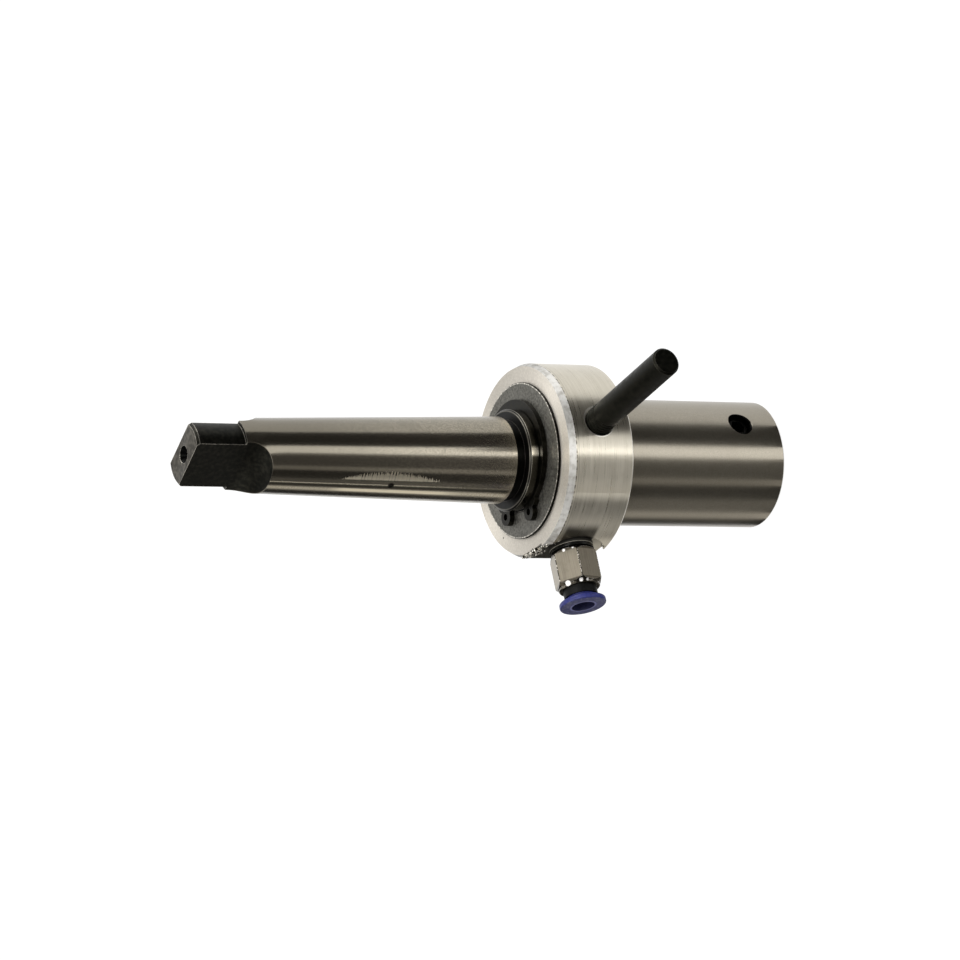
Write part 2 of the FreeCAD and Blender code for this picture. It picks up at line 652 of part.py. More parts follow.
def build_washer():
    body = new_body("thrust_washer")
    inner, outer = D.journal_width / 2 + D.washer_gap, D.washer_width / 2
    edge, top = D.washer_chamfer, D.washer_thickness
    section = outline(side_sketch(body, "washer_section"), [
        (inner, 0), (outer - edge, 0), (outer, edge), (outer, top - edge), (outer - edge, top), (inner, top),
    ])
    revolve(body, section, "washer_turning")
    place(body, 0, WASHER_LEVEL)


def build_retaining_ring():
    """External circlip: eccentric band, two lugs with plier holes on rounded roots, opening towards +X."""
    body = new_body("retaining_ring")
    inner = D.groove_floor_width / 2 + D.clip_floor_gap
    band = circle(plan_sketch(body, "band_outline"), -D.clip_offset, 0, 2 * (inner + D.clip_depth))
    pad(body, band, "band", D.clip_thickness)

    # The lugs are drawn on rays that leave the axis at the spread angle
    for name, turn in (("first_lug", D.lug_spread), ("second_lug", -D.lug_spread)):
        lug = circle(plan_sketch(body, name + "_outline", turn), D.lug_reach, 0, D.lug_width)
        pad(body, lug, name, D.clip_thickness)
    for name, turn in (("first_root", D.root_spread), ("second_root", -D.root_spread)):
        root = circle(plan_sketch(body, name + "_outline", turn), D.root_reach, 0, D.root_width)
        pad(body, root, name, D.clip_thickness)
    bore = circle(plan_sketch(body, "clip_bore_outline"), 0, 0, 2 * inner)
    pocket_through(body, bore, "clip_bore")
    for name, turn in (("first_hole", D.lug_spread), ("second_hole", -D.lug_spread)):
        hole = circle(plan_sketch(body, name + "_outline", turn), D.lug_reach, 0, D.lug_hole_width)
        pocket_through(body, hole, name)

    # The opening lies between the two lugs
    text = "(Sizes.lug_reach * sin(Sizes.lug_spread) - Sizes.lug_width / 2)"
    half = Size(D.lug_reach.value * math.sin(math.radians(D.lug_spread.value)) - D.lug_width.value / 2, text)
    gap = outline(plan_sketch(body, "opening_outline"), [
        (inner / 2, -half), (D.washer_width / 2, -half), (D.washer_width / 2, half), (inner / 2, half),
    ])
    pocket_through(body, gap, "opening")
    place(body, D.clip_angle, CLIP_LEVEL)


def build_stop_rod():
    body = new_body("stop_rod")
    thread, shank, edge = D.rod_thread_width / 2, D.rod_width / 2, D.rod_chamfer
    blank = outline(side_sketch(body, "rod_profile"), [
        (0, D.rod_seat),
        (thread - edge, D.rod_seat),
        (thread, D.rod_seat + edge),
        (thread, ROD_THREAD_END),
        (shank, ROD_THREAD_END + (shank - thread)),
        (shank, D.rod_reach - edge),
        (shank - edge, D.rod_reach),
        (0, D.rod_reach),
    ])
    revolve(body, blank, "rod_turning")
    place_radial(body, D.rod_angle, GALLERY_LEVEL)


def build_set_screws():
    tip = D.socket_width / 2 + D.screw_back
    back = tip + D.screw_length
    outer, edge = D.screw_hole_width / 2 - D.thread_gap, D.screw_chamfer
    for name, turn in (("right_set_screw", D.screw_angle), ("left_set_screw", D.screw_angle + D.screw_spread)):
        body = new_body(name)
        blank = outline(side_sketch(body, name + "_profile"), [
            (0, tip), (outer - edge, tip), (outer, tip + edge), (outer, back - edge), (outer - edge, back), (0, back),
        ])
        revolve(body, blank, name + "_turning")
        key = hexagon(plan_sketch(body, name + "_key_outline", 0, back), D.screw_key_width)
        cut = body.newObject("PartDesign::Pocket", name + "_key")
        cut.Profile = key
        bind(cut, "Length", D.screw_key_depth)
        place_radial(body, turn, D.screw_level)


def build_fitting():
    """Push-in fitting, each piece drawn along Z at its distance from the arbor's axis."""
    body = new_body("fitting_gasket")
    section = outline(side_sketch(body, "gasket_section"), [
        (D.gasket_bore / 2, D.flat_reach), (D.gasket_width / 2, D.flat_reach),
        (D.gasket_width / 2, HEX_BASE), (D.gasket_bore / 2, HEX_BASE),
    ])
    revolve(body, section, "gasket_turning")
    place_radial(body, D.port_angle, PORT_LEVEL)

    # Body: turned from the hexagon's corners inwards, then milled to six flats
    body = new_body("fitting_body")
    corner = D.hex_width / math.cos(math.radians(30)) / 2
    shoulder, thread = D.shoulder_width / 2, D.fitting_thread_width / 2
    cone_end = HEX_END - D.shoulder_length
    blank = outline(side_sketch(body, "body_profile"), [
        (D.passage_width / 2, THREAD_END),
        (thread - D.port_hole_chamfer, THREAD_END),
        (thread, THREAD_END + D.port_hole_chamfer),
        (thread, HEX_BASE),
        (corner - D.hex_chamfer, HEX_BASE),
        (corner, HEX_BASE + D.hex_chamfer),
        (corner, cone_end - (corner - shoulder)),
        (shoulder, cone_end),
        (shoulder, HEX_END - D.shoulder_edge),
        (shoulder - D.shoulder_edge, HEX_END),
        (D.cartridge_width / 2, HEX_END),
        (D.cartridge_width / 2, CARTRIDGE_FLOOR),
        (TUBE_HOLE, CARTRIDGE_FLOOR),
        (TUBE_HOLE, TUBE_STOP),
        (D.passage_width / 2, TUBE_STOP),
    ])
    revolve(body, blank, "body_turning")
    wrench = plan_sketch(body, "hexagon_outline", D.hex_turn, HEX_BASE)
    circle(wrench, 0, 0, D.hex_width * 2)
    hexagon(wrench, D.hex_width)
    flats = body.newObject("PartDesign::Pocket", "hexagon_flats")
    flats.Profile = wrench
    flats.Reversed = True
    bind(flats, "Length", D.hex_length)
    place_radial(body, D.port_angle, PORT_LEVEL)

    body = new_body("tube_seal")
    section = outline(side_sketch(body, "tube_seal_section"), [
        (TUBE_HOLE, SEAL_START), (CARTRIDGE_FIT, SEAL_START), (CARTRIDGE_FIT, SEAL_END), (TUBE_HOLE, SEAL_END),
    ])
    revolve(body, section, "tube_seal_ring")
    place_radial(body, D.port_angle, PORT_LEVEL)

    # The backing ring has a cone that leaves room for the leaning teeth
    rim = CARTRIDGE_FIT - D.grab_rim
    body = new_body("backing_ring")
    section = outline(side_sketch(body, "backing_section"), [
        (TUBE_HOLE, BACKING_START), (CARTRIDGE_FIT, BACKING_START), (CARTRIDGE_FIT, BACKING_END),
        (rim, BACKING_END), (TUBE_HOLE, BACKING_END - D.backing_cone),
    ])
    revolve(body, section, "backing_turning")
    place_radial(body, D.port_angle, PORT_LEVEL)

    # Grab ring: flat rim, then a cone cut into teeth
    body = new_body("grab_ring")
    section = outline(side_sketch(body, "grab_section"), [
        (CARTRIDGE_FIT, GRAB_START),
        (CARTRIDGE_FIT, GRAB_END),
        (rim, GRAB_END),
        (TUBE_HOLE, GRAB_END - D.grab_dip),
        (TUBE_HOLE, GRAB_START - D.grab_dip),
        (rim, GRAB_START),
    ])
    revolve(body, section, "grab_cone")
    slot_sketch = outline(plan_sketch(body, "slot_outline"), [
        (TUBE_HOLE / 2, -D.grab_slot_width / 2), (rim, -D.grab_slot_width / 2),
        (rim, D.grab_slot_width / 2), (TUBE_HOLE / 2, D.grab_slot_width / 2),
    ])
    slot = pocket_through(body, slot_sketch, "grab_slot")
    polar(body, [slot], "grab_slots", D.grab_slot_count, slot_sketch)
    place_radial(body, D.port_angle, PORT_LEVEL)

    body = new_body("fitting_guide")
    section = outline(side_sketch(body, "guide_section"), [
        (D.guide_room_width / 2, GUIDE_START), (CARTRIDGE_FIT, GUIDE_START), (CARTRIDGE_FIT, GUIDE_END),
        (D.guide_throat_width / 2, GUIDE_END), (D.guide_throat_width / 2, THROAT_START),
        (D.guide_room_width / 2, THROAT_START),
    ])
    revolve(body, section, "guide_turning")
    place_radial(body, D.port_angle, PORT_LEVEL)

    # Release collar with its retaining bead and rounded flange
    body = new_body("release_collar")
    bore, neck, bead = D.collar_bore_width / 2, D.collar_neck_width / 2, D.collar_bead_width / 2
    flange = D.collar_flange_width / 2
    section = outline(side_sketch(body, "collar_section"), [
        (bore, BEAD_START),
        (neck, BEAD_START),
        (bead, BEAD_START + D.collar_bead_length / 2),
        (bead, BEAD_END),
        (neck, BEAD_END),
        (neck, FLANGE_START),
        (flange, FLANGE_START),
        (flange, FLANGE_END),
        (bore, FLANGE_END),
    ])
    turned = revolve(body, section, "collar_turning")
    doc.recompute()
    edges = []
    for index, edge in enumerate(turned.Shape.Edges, start=1):
        if isinstance(edge.Curve, Part.Circle) and edge.Curve.Radius > neck.value * 1.2:
            edges.append("Edge%d" % index)
    softened = body.newObject("PartDesign::Fillet", "collar_edges")
    softened.Base = (turned, edges)
    bind(softened, "Radius", D.collar_round)
    place_radial(body, D.port_angle, PORT_LEVEL)


def build_plunger_set():
    body = new_body("seat_clip")
    wire = circle(side_sketch(body, "seat_clip_section"), SNAP_RADIUS, 0, D.snap_wire)
    revolve(body, wire, "seat_clip_bow", angle=360 - D.snap_opening)
    place(body, 0, SNAP_LEVEL)

    body = new_body("seat_washer")
    outer = D.chamber_width / 2 - D.seat_gap
    section = outline(side_sketch(body, "seat_section"), [
        (D.seat_bore_width / 2, 0), (outer, 0), (outer, D.seat_thickness), (D.seat_bore_width / 2, D.seat_thickness),
    ])
    revolve(body, section, "seat_turning")
    place(body, 0, SEAT_LEVEL)

    body = new_body("plunger")
    stem, flange, spigot = D.plunger_stem_width / 2, D.plunger_flange_width / 2, D.plunger_spigot_width / 2
    edge = D.plunger_chamfer
    low, high = SEAT_TOP - D.plunger_stem_drop, FLANGE_TOP + D.plunger_spigot_length
    section = outline(side_sketch(body, "plunger_profile"), [
        (0, low), (stem - edge, low), (stem, low + edge), (stem, FLANGE_LEVEL), (flange - edge, FLANGE_LEVEL),
        (flange, FLANGE_LEVEL + edge), (flange, FLANGE_TOP), (spigot, FLANGE_TOP), (spigot, high - edge),
        (spigot - edge, high), (0, high),
    ])
    revolve(body, section, "plunger_turning")

    body = new_body("plunger_seal")
    radius = stem + D.seal_gap + D.plunger_seal_wire / 2
    wire = circle(side_sketch(body, "plunger_seal_section"), radius, 0, D.plunger_seal_wire)
    revolve(body, wire, "plunger_seal_ring")
    place(body, 0, PLUNGER_SEAL_LEVEL)

    # Spring wound longer than its space, then ground flat at both ends
    start, end = FLANGE_TOP + D.spring_gap, CHAMBER_END - D.spring_gap
    pitch = (end - start) / D.spring_turns
    body = new_body("plunger_spring")
    wire = circle(side_sketch(body, "wire_section"), (D.spring_width - D.spring_wire) / 2, start, D.spring_wire)
    coil = body.newObject("PartDesign::AdditiveHelix", "coil")
    coil.Profile = wire
    coil.ReferenceAxis = (wire, ["V_Axis"])
    coil.Mode = "pitch-height-angle"
    bind(coil, "Pitch", pitch)
    bind(coil, "Height", end - start)
    for name, low, high in (("lower_grinding", start - D.spring_wire, start), ("upper_grinding", end, end + D.spring_wire)):
        stone = outline(side_sketch(body, name + "_profile"), [
            (0, low), (D.spring_width, low), (D.spring_width, high), (0, high),
        ])
        groove(body, stone, name)


build_arbor()
build_ring()
build_seals()
build_washer()
build_retaining_ring()
build_stop_rod()
build_set_screws()
build_fitting()
build_plunger_set()
doc.recompute()

for item in doc.Objects:
    if "Invalid" in item.State or "Error" in item.State:
        raise RuntimeError("%s failed: %s" % (item.Label, item.State))

os.makedirs("parts", exist_ok=True)
for piece in doc.Objects:
    if piece.TypeId != "PartDesign::Body":
        continue
    if piece.Shape.isNull() or not piece.Shape.isValid() or len(piece.Shape.Solids) != 1:
        raise RuntimeError("%s has no single valid solid" % piece.Label)
    piece.Shape.exportStep(os.path.join("parts", piece.Label + ".step"))
    print("%-18s volume %10.2f mm3" % (piece.Label, piece.Shape.Volume))
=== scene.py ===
# %% [markdown]
# # Annular cutter arbor
# This lesson dresses a finished CAD model of a cutter arbor: a Morse taper shank, a ground head
# and a coolant ring that turns on it.  The CAD pieces stay exactly where they are.  Blender adds
# what a drawing leaves out: grinding marks, black oxide, threads, burrs, studio light, a camera.

# %% Load the frame
import bmesh
import bpy
import math
from mathutils import Matrix, Vector


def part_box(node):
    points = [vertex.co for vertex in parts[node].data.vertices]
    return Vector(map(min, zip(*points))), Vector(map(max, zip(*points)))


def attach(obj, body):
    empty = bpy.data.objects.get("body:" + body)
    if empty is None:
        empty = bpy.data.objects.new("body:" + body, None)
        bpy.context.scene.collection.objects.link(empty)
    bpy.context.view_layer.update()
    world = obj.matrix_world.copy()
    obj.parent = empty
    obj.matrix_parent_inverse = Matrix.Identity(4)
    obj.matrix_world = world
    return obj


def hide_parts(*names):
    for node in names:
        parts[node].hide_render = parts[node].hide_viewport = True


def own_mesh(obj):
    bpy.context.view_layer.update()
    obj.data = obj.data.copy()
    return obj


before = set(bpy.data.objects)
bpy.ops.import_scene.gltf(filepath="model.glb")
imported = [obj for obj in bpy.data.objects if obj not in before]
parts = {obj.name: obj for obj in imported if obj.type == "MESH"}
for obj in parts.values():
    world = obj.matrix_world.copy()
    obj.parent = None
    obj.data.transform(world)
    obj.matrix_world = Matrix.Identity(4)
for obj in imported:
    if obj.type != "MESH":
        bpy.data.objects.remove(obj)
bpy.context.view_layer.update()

MM = 0.001

# %% [markdown]
# ## Sizes that the finishes need
# A finish changes where the shape changes: the taper is ground, the tang is left black.  These
# sizes are read off the loaded pieces where that is easy, or are the drawing's own numbers.

# %% Sizes
AXIS_UP = Vector((0, 0, 1))
PORT_ANGLE, ROD_ANGLE = math.radians(-156), math.radians(-66)
SCREW_ANGLES, SCREW_LEVEL = (math.radians(-49.5), math.radians(40.5)), 12.2 * MM
ring_low, ring_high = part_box("coolant_ring")
RING_RADIUS, RING_BACK, RING_FRONT = ring_high.x, ring_low.z, ring_high.z
RING_MIDDLE = (RING_BACK + RING_FRONT) / 2
PORT_LEVEL = sum(corner.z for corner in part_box("release_collar")) / 2
BEVEL_LEVEL = RING_FRONT - 1.8 * MM
HEAD_RADIUS = 17.62 * MM
SEAT_ASIDE = 3.2 * MM  # the fitting's spot face lies this far off the port
TAPER_LEVEL, TAPER_END, TAPER_RADIUS = 82.8 * MM, 163.8 * MM, 12.05 * MM
TAPER_RUN = 2 * 19.922  # height over which the taper's radius falls by one
JOURNAL_TOP, NECK_LEVEL = 75.2 * MM, 79.42 * MM
print("ring %.1f mm wide, port at %.2f mm" % (2 * RING_RADIUS / MM, PORT_LEVEL / MM))


def outward(angle):
    """Unit vector that leaves the arbor's axis at an angle."""
    return Vector((math.cos(angle), math.sin(angle), 0))


# %% [markdown]
# ## A small language for materials
# Every finish below is a tree of nodes.  Adding nodes by hand takes many lines, so a small class
# keeps the tree and offers the few operations that metal finishes need.  Colours are written as
# the 0 to 255 numbers that a screen shows and turned into light values once, here.

# %% Material helper
def colour(red, green, blue):
    """A screen colour as linear light with full cover."""
    def straight(value):
        value /= 255
        return value / 12.92 if value <= 0.04045 else ((value + 0.055) / 1.055) ** 2.4
    return (straight(red), straight(green), straight(blue), 1)


def add_node(tree, kind, values=(), **settings):
    """Add a node, set its properties, link or set its inputs, and give its outputs."""
    node = tree.nodes.new(kind)
    for key, value in settings.items():
        setattr(node, key, value)
    for key, value in dict(values).items():
        put(tree, node.inputs[key], value)
    return node.outputs


def put(tree, socket, value):
    """Link a socket to another one, or give it a plain value."""
    if isinstance(value, bpy.types.NodeSocket):
        tree.links.new(value, socket)
    else:
        socket.default_value = value


class Finish:
    """A material whose tree grows from object coordinates to one Principled shader."""

    def __init__(self, name, **plain):
        self.material = bpy.data.materials.new(name)
        self.material.use_nodes = True
        self.tree = self.material.node_tree
        self.shader = self.tree.nodes["Principled BSDF"]
        for key, value in plain.items():
            self.shader.inputs[key.replace("_", " ")].default_value = value
        self.place = self.add("TexCoord", out="Object")

    def put(self, name, value):
        """Feed one input of the shader."""
        put(self.tree, self.shader.inputs[name], value)

    def add(self, kind, values=(), out=0, **settings):
        return add_node(self.tree, "ShaderNode" + kind, values, **settings)[out]

    def math(self, operation, a, b=0.0):
        return self.add("Math", {0: a, 1: b}, operation=operation)

    def span(self, value, low, high, start=0.0, end=1.0):
        """Start where value is low, end where it is high, smooth between."""
        limits = {"From Min": low, "From Max": high, "To Min": start, "To Max": end}
        return self.add("MapRange", {"Value": value, **limits}, interpolation_type="SMOOTHSTEP")

    def below(self, value, low, high):
        """One below low, nothing above high."""
        return self.span(value, low, high, 1.0, 0.0)

    def between(self, value, rise, fall):
        """One between two levels, each given as the pair of values over which it changes."""
        return self.both(self.span(value, *rise), self.below(value, *fall))

    def both(self, a, b):
        return self.math("MULTIPLY", a, b)

    def either(self, a, b):
        return self.math("MAXIMUM", a, b)

    def blend(self, amount, a, b):
        """Colour a where amount is nothing, b where it is one."""
        return self.add("Mix", {0: amount, 6: a, 7: b}, out=2, data_type="RGBA")

    def noise(self, vector, scale, detail=3.0, distortion=0.0, roughness=0.5):
        return self.add("TexNoise", {"Vector": vector, "Scale": scale, "Detail": detail,
                                     "Roughness": roughness, "Distortion": distortion})

    def turned_noise(self, cylinder, by_angle, by_radius, by_height, **how):
        """Noise drawn out round the axis: each coordinate has its own scale."""
        radius, angle, height = cylinder
        scaled = (self.both(angle, by_angle), self.both(radius, by_radius), self.both(height, by_height))
        return self.noise(self.add("CombineXYZ", dict(enumerate(scaled))), 1.0, **how)

    def normal(self):
        return self.add("NewGeometry", out="Normal")

    def xyz(self, vector):
        return add_node(self.tree, "ShaderNodeSeparateXYZ", {0: vector})

    def away(self, x, y, z):
        """Distance from a point that is given in mm."""
        point = (x * MM, y * MM, z * MM)
        return self.add("VectorMath", {0: self.place, 1: point}, out="Value", operation="DISTANCE")

    def turned_metal(self):
        """Let the highlight spread across marks that run round the axis."""
        self.put("Tangent", self.add("Tangent", direction_type="RADIAL", axis="Z"))
        return self.turned()

    def turned(self, direction=None, level=0.0):
        """Radius, angle and height about the arbor's axis, or about a radius of it at a level."""
        place = self.place
        if direction is not None:
            back = direction.to_track_quat("Z", "Y").inverted().to_euler()
            start = -(back.to_matrix() @ Vector((0, 0, level)))
            place = self.add("Mapping", {"Vector": place, "Location": start, "Rotation": back})
        x, y, z = self.xyz(place)
        radius = self.math("SQRT", self.math("ADD", self.both(x, x), self.both(y, y)))
        return radius, self.math("ARCTAN2", y, x), z

    def worn_edge(self, width, softness=6.0):
        """One on sharp edges, from the normal that a small bevel would give."""
        bevel = self.add("Bevel", {"Radius": width}, samples=6)
        turn = self.add("VectorMath", {0: bevel, 1: self.normal()}, out="Value", operation="DOT_PRODUCT")
        return self.math("MINIMUM", self.both(self.math("SUBTRACT", 1.0, turn), softness), 1.0)

    def line(self, value, centre, half):
        """One on a thin line where value is near centre."""
        away = self.math("ABSOLUTE", self.math("SUBTRACT", value, centre))
        return self.below(away, half * 0.4, half)

    def finish(self, base, rough, height, depth=0.1, distance=0.1 * MM):
        """Feed the shader and give the material; height is the relief that bump reads."""
        self.put("Base Color", base)
        self.put("Roughness", rough)
        self.put("Normal", self.add("Bump", {"Strength": depth, "Distance": distance, "Height": height}))
        return self.material


def dress(material, *names):
    """Give CAD pieces a material; their shape is not touched."""
    for name in names:
        slots = parts[name].data.materials
        slots.clear()
        slots.append(material)
    print("%-22s on %s" % (material.name, ", ".join(names)))


# %% [markdown]
# ## Ground steel and black oxide on one solid
# The arbor is a single piece of hardened steel.  It is blackened whole and then ground on the
# taper and the head, so the tang, the neck and the land beside the circlip keep the black skin.
# One material with masks by height is truer than two pieces.  The turned marks run round the
# axis, so the noise is stretched along the angle, and the highlight spreads along the axis.

# %% Arbor finish
def holes(steel):
    """One inside the two tapped holes of the head, where black shade is painted."""
    masks = []
    for angle in SCREW_ANGLES:
        radius, turn, reach = steel.turned(outward(angle), SCREW_LEVEL)
        hole, deep = steel.below(radius, 3.65 * MM, 3.75 * MM), steel.span(reach, 9.8 * MM, 10.2 * MM)
        masks.append(steel.both(hole, deep))
    return steel.either(*masks)


def arbor_finish():
    steel = Finish("Ground and blackened steel", Metallic=1.0, Anisotropic=0.75, Anisotropic_Rotation=0.25)
    radius, angle, height = cylinder = steel.turned_metal()

    # Where the black skin is left
    fallen = steel.math("DIVIDE", steel.math("SUBTRACT", height, TAPER_LEVEL), TAPER_RUN)
    sunk = steel.math("SUBTRACT", steel.math("SUBTRACT", TAPER_RADIUS, fallen), radius)
    tang = steel.span(height, TAPER_END - 0.06 * MM, TAPER_END + 0.02 * MM)
    runout = steel.both(steel.span(height, 150 * MM, 151 * MM), steel.span(sunk, 0.14 * MM, 0.22 * MM))
    neck = steel.between(height, (NECK_LEVEL - 0.04 * MM, NECK_LEVEL), (82.7 * MM, 82.85 * MM))
    groove = steel.between(height, (JOURNAL_TOP, 75.3 * MM), (77.22 * MM, 77.3 * MM))
    land = steel.between(height, (77.2 * MM, 77.3 * MM), (79.5 * MM, 79.6 * MM))
    socket = steel.both(steel.below(radius, 9.7 * MM, 9.9 * MM), steel.below(height, 70 * MM, 71 * MM))
    black = steel.either(steel.either(tang, runout), steel.either(neck, groove))

    # Grinding marks round the axis, patches of stain, and fine pits on the head
    marks = steel.turned_noise(cylinder, 24.0, 300.0, 1500.0, detail=5.0, roughness=0.65)
    broad = steel.turned_noise(cylinder, 0.25, 0.0, 420.0, detail=2.0)
    stain = steel.noise(steel.place, 190.0, detail=5.0, distortion=0.6)
    pits = steel.noise(steel.place, 2300.0, detail=2.0)
    satin = steel.noise(steel.place, 2900.0, detail=3.0)
    head = steel.below(height, 54 * MM, 55 * MM)
    grain = steel.both(head, steel.span(pits, 0.52, 0.72))
    # A painted highlight along the land, at one angle
    land_painted_highlight = steel.both(land, steel.line(angle, -1.39, 0.12))

    bright = steel.blend(steel.span(marks, 0.3, 0.7), colour(142, 136, 122), colour(157, 150, 136))
    for amount, tone in ((steel.both(steel.span(satin, 0.35, 0.7), 0.6), (111, 106, 94)),
                         (steel.both(steel.span(stain, 0.5, 0.75), 0.2), (96, 91, 81)),
                         (steel.both(grain, 0.25), (92, 88, 79)),
                         (steel.both(steel.span(broad, 0.35, 0.7), 0.12), (146, 140, 128)),
                         (steel.both(steel.span(height, 100 * MM, 150 * MM), 0.75), (112, 107, 96)),
                         (steel.both(head, 0.6), (152, 146, 134)),
                         (steel.both(land, 0.9), (62, 59, 51)),
                         (land_painted_highlight, (216, 209, 194))):
        bright = steel.blend(amount, bright, colour(*tone))

    # Painted highlights for the glints of the grinding wheel's facets, at angles in radians: a lens of
    # short ticks, then a fine and a wide bright line along the taper; a painted dark reflection line
    # beside them; and one dark spot
    along = steel.math("DIVIDE", steel.math("SUBTRACT", height, 120.5 * MM), 15.5 * MM)
    lens = steel.math("SUBTRACT", 1.0, steel.both(along, along))
    ticks = steel.turned_noise(cylinder, 0.0, 0.0, 2300.0, detail=1.0)
    top = steel.math("ADD", steel.both(lens, 0.2), steel.span(ticks, 0.35, 0.65, -2.2, -2.1))
    lit = steel.both(steel.span(steel.math("SUBTRACT", top, angle), 0.0, 0.03), steel.span(angle, -2.18, -2.14))
    lit = steel.both(steel.both(lit, steel.span(lens, 0.0, 0.15)), steel.span(ticks, 0.3, 0.5, 0.45, 0.8))
    fine = steel.both(steel.line(angle, -2.304, 0.02), steel.span(height, 90 * MM, 115 * MM, 0.15, 0.6))
    strong = steel.both(steel.span(height, 96 * MM, 106 * MM, 0.3, 1.0),
                        steel.span(height, 132 * MM, 139 * MM, 1.0, 0.3))
    wide = steel.both(steel.line(angle, -2.517, 0.085), strong)
    painted_dark_line = steel.both(steel.line(angle, -2.382, 0.05), 0.8)
    ground = steel.span(height, 83 * MM, 84 * MM)
    painted_glint = steel.both(steel.either(lit, steel.either(fine, wide)), ground)
    spot = steel.span(steel.away(-7.5, -8.2, 119.9), 0.75 * MM, 1.05 * MM, 0.97, 0.0)
    bright = steel.blend(steel.both(painted_dark_line, ground), bright, colour(62, 59, 50))
    bright = steel.blend(painted_glint, bright, colour(244, 234, 210))
    bright = steel.blend(spot, bright, colour(16, 14, 12))

    # The oxide, with its edges rubbed back to steel; the tang's end face is rubbed grey
    wear_and_shade = steel.noise(steel.place, 900.0, detail=3.0)
    end_face = steel.span(height, 178.0 * MM, 178.08 * MM)
    edge = steel.both(steel.worn_edge(0.35 * MM, 5.0), steel.span(wear_and_shade, 0.3, 0.6, 0.45, 1.0))
    grey = steel.blend(steel.span(wear_and_shade, 0.35, 0.7), colour(62, 59, 53), colour(92, 88, 80))
    skin = steel.blend(steel.span(wear_and_shade, 0.35, 0.75), colour(24, 24, 21), colour(39, 38, 33))
    skin = steel.blend(end_face, skin, grey)
    skin = steel.blend(edge, skin, colour(196, 190, 179))
    skin = steel.blend(steel.both(neck, 0.8), skin, colour(12, 12, 11))

    # Both together, then the neck's rims, the socket, and painted black shade in the tapped holes and the
    # centre hole
    rims = steel.either(steel.line(height, NECK_LEVEL, 0.14 * MM), steel.line(height, 79.86 * MM, 0.12 * MM))
    rims = steel.both(steel.both(rims, steel.span(radius, 13.3 * MM, 13.5 * MM)), 0.3)
    centre = steel.both(steel.below(radius, 2.25 * MM, 2.35 * MM), steel.span(height, 160 * MM, 161 * MM))
    base = steel.blend(black, bright, skin)
    base = steel.blend(rims, base, colour(150, 145, 133))
    base = steel.blend(socket, base, colour(72, 68, 62))
    base = steel.blend(steel.either(holes(steel), centre), base, colour(10, 10, 9))
    rough = steel.math("ADD", steel.span(marks, 0.3, 0.7, 0.2, 0.235), steel.both(black, 0.2))
    rough = steel.math("ADD", rough, steel.both(painted_glint, 0.2))
    rough = steel.math("ADD", rough, steel.math("SUBTRACT", steel.both(head, 0.09), steel.both(land, 0.06)))
    relief = steel.math("ADD", steel.both(marks, 0.4), steel.both(satin, 0.5))
    return steel.finish(base, rough, relief, depth=0.03, distance=0.03 * MM)


dress(arbor_finish(), "arbor_body")

# %% [markdown]
# ## Turned aluminium
# The coolant ring is turned from bar and only deburred.  A lathe tool leaves fine circles on the
# face and fine rings on the cylinder.  The same noise gives both, because it is read over radius
# and height and hardly changes with the angle.  A turned line, a dashed burr on the bevel's edge
# and one small pit are drawn into the colour: they are too small to be worth any mesh.

# %% Ring finish
PORT_OUT = outward(PORT_ANGLE)


